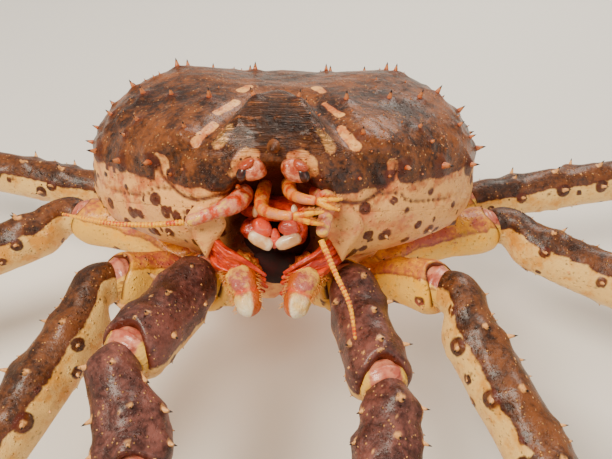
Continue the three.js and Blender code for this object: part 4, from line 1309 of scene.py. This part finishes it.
class CRAB_OT_mouth(bpy.types.Operator):
    """Upper lip, throat, jaws and their white edges, and a near-black basin of painted shade under the throat
    """

    bl_idname = "crab.mouth"
    bl_label = "Mouth"

    def execute(self, context):
        lip = ellipsoid((0, -66, 0), (17, 11, 5), 48, 30, rough=1.2)
        # The throat's near-black is partly its own dark red flesh and partly painted shade inside the mouth
        throat = ellipsoid((0, -55, -13), (22, 12, 17), 48, 30, rough=1.5)
        meshes = [lip, painted(throat, 3)]
        for side, _ in SIDES:
            jaw = ellipsoid((side * 9, -71.5, -8), (6, 5.5, 5.5), 40, 26, 1.6, 0.9, 28 * side)
            knob = ellipsoid((side * 5.8, -75.8, -5.4), (4.6, 3.6, 3.6), 32, 20, 1.6, 0.8, -20 * side)
            edge = ellipsoid((side * 6.0, -77.8, -10.9), (5.8, 3.0, 2.9), 36, 24, 0.6, 0.66, -27 * side)
            rod = ellipsoid((side * 8.4, -74.5, 1.5), (1.6, 2.0, 3.2), 20, 14, tilt=-8 * side)
            meshes += [jaw, painted(knob, 2), painted(edge, 1), painted(rod, 1)]
        tongue = ellipsoid((0, -76.0, -10.5), (2.2, 2.4, 4.6), 20, 16, rough=1.0, square=0.85)
        # Painted shade: a near-black basin under the throat fills the dark between the mouth legs
        floor = ellipsoid((0, -60, -29), (15, 9, 9), 40, 26, rough=1.5)
        meshes += [painted(tongue, 2), painted(floor, 3)]
        finish_piece("mouth_flesh_parts", meshes, "mouth_flesh tooth jaw_flesh throat", "mouth", "mouth")
        return {"FINISHED"}


def bristles(cord, seed, count, rows_round, tall, start=0.3):
    """Fine bristles in rows along a cord, lying towards its end."""
    random = np.random.default_rng(seed)
    share = random.triangular(start, 0.5, 0.95, count)
    angle = random.choice(rows_round, count) + random.normal(0, 0.25, count)
    roots = cord.point(share, angle, cord.radius(share) * 0.97)
    outward = unit(roots - cord.at(share, cord.path))
    ways = unit(outward * 0.8 + cord.at(share, cord.tangents) * random.uniform(0.4, 1.1, count)[:, None])
    lengths = tall * random.uniform(0.5, 1.1, count) * (1 - 0.45 * share)
    rows = ((0, 0), (0, 1), (0.5, 0.7), (1, 0))
    return cones(to_row(roots), turn_to_row(ways), lengths, np.full(count, 0.22), 4, rows, along=share)


class CRAB_OT_mouth_legs(bpy.types.Operator):
    """Bristled legs that hang before the mouth"""

    bl_idname = "crab.mouth_legs"
    bl_label = "Mouth legs"

    def execute(self, context):
        for side, name in SIDES:
            cord = Cord(mirrored(MOUTH_LEG, side), MOUTH_LEG_RADII)
            values = {
                "along": lambda share, angle: share,
                "rim": lambda share, angle: self.joints(share, 0.02),
                "patch": lambda share, angle: bump(share - 0.72, 0.13) * smooth(np.sin(angle), -0.2, 0.8),
                "side": functools.partial(self.inner, side),
            }
            number = context.scene.crab_sizes.bristles
            seed = SEEDS["mouth_bristles"] + side
            hairs = bristles(cord, seed, number, (0.1, 3.1, 4.7), size_of("bristle_length"))
            meshes = [cord.tube(40, 0.8, self.swell, values), painted(hairs, 1)]
            meshes += [painted(strand, 2) for strand in self.folds(side)]
            crust_piece(f"maxilliped_{name}", meshes, "mouth_leg bristle mouth_fold", "mouth")
        return {"FINISHED"}

    def joints(self, share, width):
        """One at each joint of the leg, fading over a width."""
        return np.max([bump(share - joint, width) for joint in MOUTH_LEG_JOINTS], axis=0)

    def swell(self, share, angle):
        """Waists at the joints, a flattened end, folds near the root and lumps."""
        waist = 1 - 0.14 * self.joints(share, 0.03)
        waist = waist - 0.14 * np.abs(np.sin(angle)) * smooth(share, 0.5, 0.7)
        folds = 0.07 * np.sin(11 * angle + 5 * share) * (share < 0.56)
        lumps = 0.03 * np.sin(5 * angle - 31 * share) + 0.02 * np.sin(8 * angle + 47 * share)
        return waist * (1 + 0.06 * np.sin(3 * angle + 9 * share) + folds + lumps)

    def inner(self, side, share, angle):
        """The side that faces the other mouth leg."""
        return smooth(-side * np.cos(angle), 0.1, 0.75) * smooth(share, 0.45, 0.6)

    def folds(self, side):
        """Uneven red folds that slant down to the middle over the legs' roots."""
        random = np.random.default_rng(SEEDS["folds"] + side)
        line = mirrored(FOLD_LINE, side)
        values = {"rim": lambda share, angle: 0.7 * bump(np.sin(6 * angle), 0.3)}
        strands = []
        for lift in np.linspace(3, -6.5, 6):
            shift = np.array([0, random.uniform(-1.6, 0.4), lift])
            bent = line + shift + random.normal(0, 0.7, line.shape)
            radius = random.uniform(1.3, 2.0)
            swell = functools.partial(self.ridged, random.uniform(0, 6))
            strands.append(Cord(bent, (radius, radius, 0.5 * radius)).tube(20, 0.7, swell, values))
        return strands

    def ridged(self, phase, share, angle):
        """Ridges along a fold, and lumps."""
        return 1 + 0.14 * np.sin(4 * angle + 5 * share + phase) + 0.08 * np.sin(23 * share + phase)


class CRAB_OT_feelers(bpy.types.Operator):
    """Long and short feelers"""

    bl_idname = "crab.feelers"
    bl_label = "Feelers"

    def execute(self, context):
        step = size_of("ring_step")
        for name, (foot, whip) in ANTENNAE.items():
            base = self.jointed(Cord(foot, FOOT_RADII), 3)
            finish_piece(f"antenna_{name}_foot", [base], "antenna", "feeler", f"antenna_{name}")
            cord = Cord(whip, WHIP_RADII)
            swell = functools.partial(self.ringed, cord.length, step, 1, 0.08)
            values = {"along": functools.partial(self.ringed, cord.length, step, 0.45, 0.16)}
            lash = cord.tube(12, step / 5, swell, values)
            finish_piece(f"antenna_{name}_lash", [lash], "feeler_skin", "feeler", f"antenna_whip_{name}")
        for name, (stem, prongs) in ANTENNULES.items():
            meshes = [self.jointed(Cord(stem, (3.0, 3.2, 2.4, 1.8)), 3)]
            for prong in prongs:
                cord = Cord(prong, (1.7, 1.3, 0.6))
                hairs = bristles(cord, SEEDS["feeler_bristles"], 60, (4.7,), 2.6, 0.02)
                meshes += [painted(self.jointed(cord, 9), 1), painted(hairs, 2)]
            finishes = "antennule feeler_skin bristle"
            finish_piece(f"antennule_{name}_stem", meshes, finishes, "feeler", f"antennule_{name}")
        return {"FINISHED"}

    def ringed(self, length, step, middle, height, share, angle):
        """Waves round a middle value, one to each ring of a whip."""
        return middle + height * np.cos(share * length / step * 2 * math.pi)

    def jointed(self, cord, joints):
        """A tube with waists between its joints."""
        def waist(share, angle):
            return 1 - 0.18 * np.exp(-((np.abs((share * joints) % 1 - 0.5) - 0.5) / 0.06) ** 2)
        values = {"along": lambda share, angle: 0.3 + 0.4 * share,
                  "rim": lambda share, angle: 0.6 * (waist(share, angle) < 0.93)}
        return cord.tube(20, 0.5, waist, values)


# Stage: floor, light and camera, in metres but for the camera's place
FLOOR_HALF = 4
SKY = (1.0, 0.95, 0.87, 1)
SKY_STRENGTH = 0.4
LIT_PLACE = (0, 0.1, 0.1)
NEAR_CLIP = 0.01
CAMERA = {"place": (17.5, -142.6, 336.5), "way": (-0.015, 0.706, -0.708), "roll": 0.5, "view": 52.0}
LIGHTS = (
    ("key", (-0.5, -0.35, 1.2), 0.5, 22, (1.0, 0.9, 0.74)),
    ("back", (0.4, 0.95, 0.9), 0.7, 13, (1.0, 0.92, 0.8)),
    ("fill", (0.95, -0.75, 0.55), 0.9, 4, (1.0, 0.96, 0.9)),
)


class CRAB_OT_stage(bpy.types.Operator):
    """Pale floor, soft light and the camera"""

    bl_idname = "crab.stage"
    bl_label = "Stage"

    def execute(self, context):
        shape = bmesh.new()
        bmesh.ops.create_grid(shape, x_segments=2, y_segments=2, size=FLOOR_HALF)
        mesh = mesh_of(shape, "floor")
        floor = bpy.data.objects.new("floor", mesh)
        finish = Finish("floor")
        cloud = finish.noise(3, 3)
        light = context.scene.crab_colours.floor
        tone = cloud.mix([0.97 * part for part in light], light)
        mesh.materials.append(finish.close(tone, 0.6, cloud, 0.0005, 0.2, 0.0))
        context.scene.collection.objects.link(floor)
        self.world(context)
        for name, place, size, power, tint in LIGHTS:
            self.lamp(context, name, Vector(place), size, power, tint)
        self.camera(context)
        return {"FINISHED"}

    def world(self, context):
        """Even light from all round."""
        world = bpy.data.worlds.new("studio")
        world.use_nodes = True
        background = world.node_tree.nodes["Background"]
        background.inputs["Color"].default_value = SKY
        background.inputs["Strength"].default_value = SKY_STRENGTH
        context.scene.world = world

    def lamp(self, context, name, place, size, power, tint):
        """A large soft light that faces the crab."""
        lamp = bpy.data.lights.new(name, "AREA")
        lamp.size = size
        lamp.energy = power
        lamp.color = tint
        lamp_object = bpy.data.objects.new(name, lamp)
        context.scene.collection.objects.link(lamp_object)
        aim = Vector(LIT_PLACE) - place
        turning = aim.to_track_quat("-Z", "Y").to_matrix().to_4x4()
        lamp_object.matrix_world = Matrix.Translation(place) @ turning

    def camera(self, context):
        """The camera where the photographer's was, level but for a slight roll."""
        forward = Vector(CAMERA["way"]).normalized()
        right = forward.cross(Vector((0, 0, 1))).normalized()
        upward = right.cross(forward)
        roll = math.radians(CAMERA["roll"])
        turned_right = right * math.cos(roll) + upward * math.sin(roll)
        turned_up = upward * math.cos(roll) - right * math.sin(roll)
        camera = bpy.data.cameras.new("camera")
        camera.angle = math.radians(CAMERA["view"])
        camera.clip_start = NEAR_CLIP
        camera_object = bpy.data.objects.new("camera", camera)
        context.scene.collection.objects.link(camera_object)
        turning = Matrix((turned_right, turned_up, -forward)).transposed().to_4x4()
        camera_object.matrix_world = Matrix.Translation(Vector(CAMERA["place"]) * MM) @ turning
        context.scene.camera = camera_object


OPERATORS = (
    CRAB_OT_shell, CRAB_OT_underside, CRAB_OT_walking_legs, CRAB_OT_clawed_arms, CRAB_OT_eyes, CRAB_OT_mouth,
    CRAB_OT_mouth_legs, CRAB_OT_feelers, CRAB_OT_stage,
)


class CRAB_PT_pieces(bpy.types.Panel):
    """Lists the crab's pieces"""

    bl_idname = "CRAB_PT_pieces"
    bl_label = "Red king crab"
    bl_space_type = "VIEW_3D"
    bl_region_type = "UI"
    bl_category = "Crab"

    def draw(self, context):
        for operator in OPERATORS:
            self.layout.operator(operator.bl_idname)


CLASSES = (CrabSizes, CrabColours, *OPERATORS, CRAB_PT_pieces)


def register():
    for entry in CLASSES:
        bpy.utils.register_class(entry)
    bpy.types.Scene.crab_sizes = bpy.props.PointerProperty(type=CrabSizes)
    bpy.types.Scene.crab_colours = bpy.props.PointerProperty(type=CrabColours)


def unregister():
    del bpy.types.Scene.crab_sizes
    del bpy.types.Scene.crab_colours
    for entry in reversed(CLASSES):
        bpy.utils.unregister_class(entry)


def main():
    register()
    for operator in OPERATORS:
        group, name = operator.bl_idname.split(".")
        getattr(getattr(bpy.ops, group), name)()


if __name__ == "__main__":
    main()
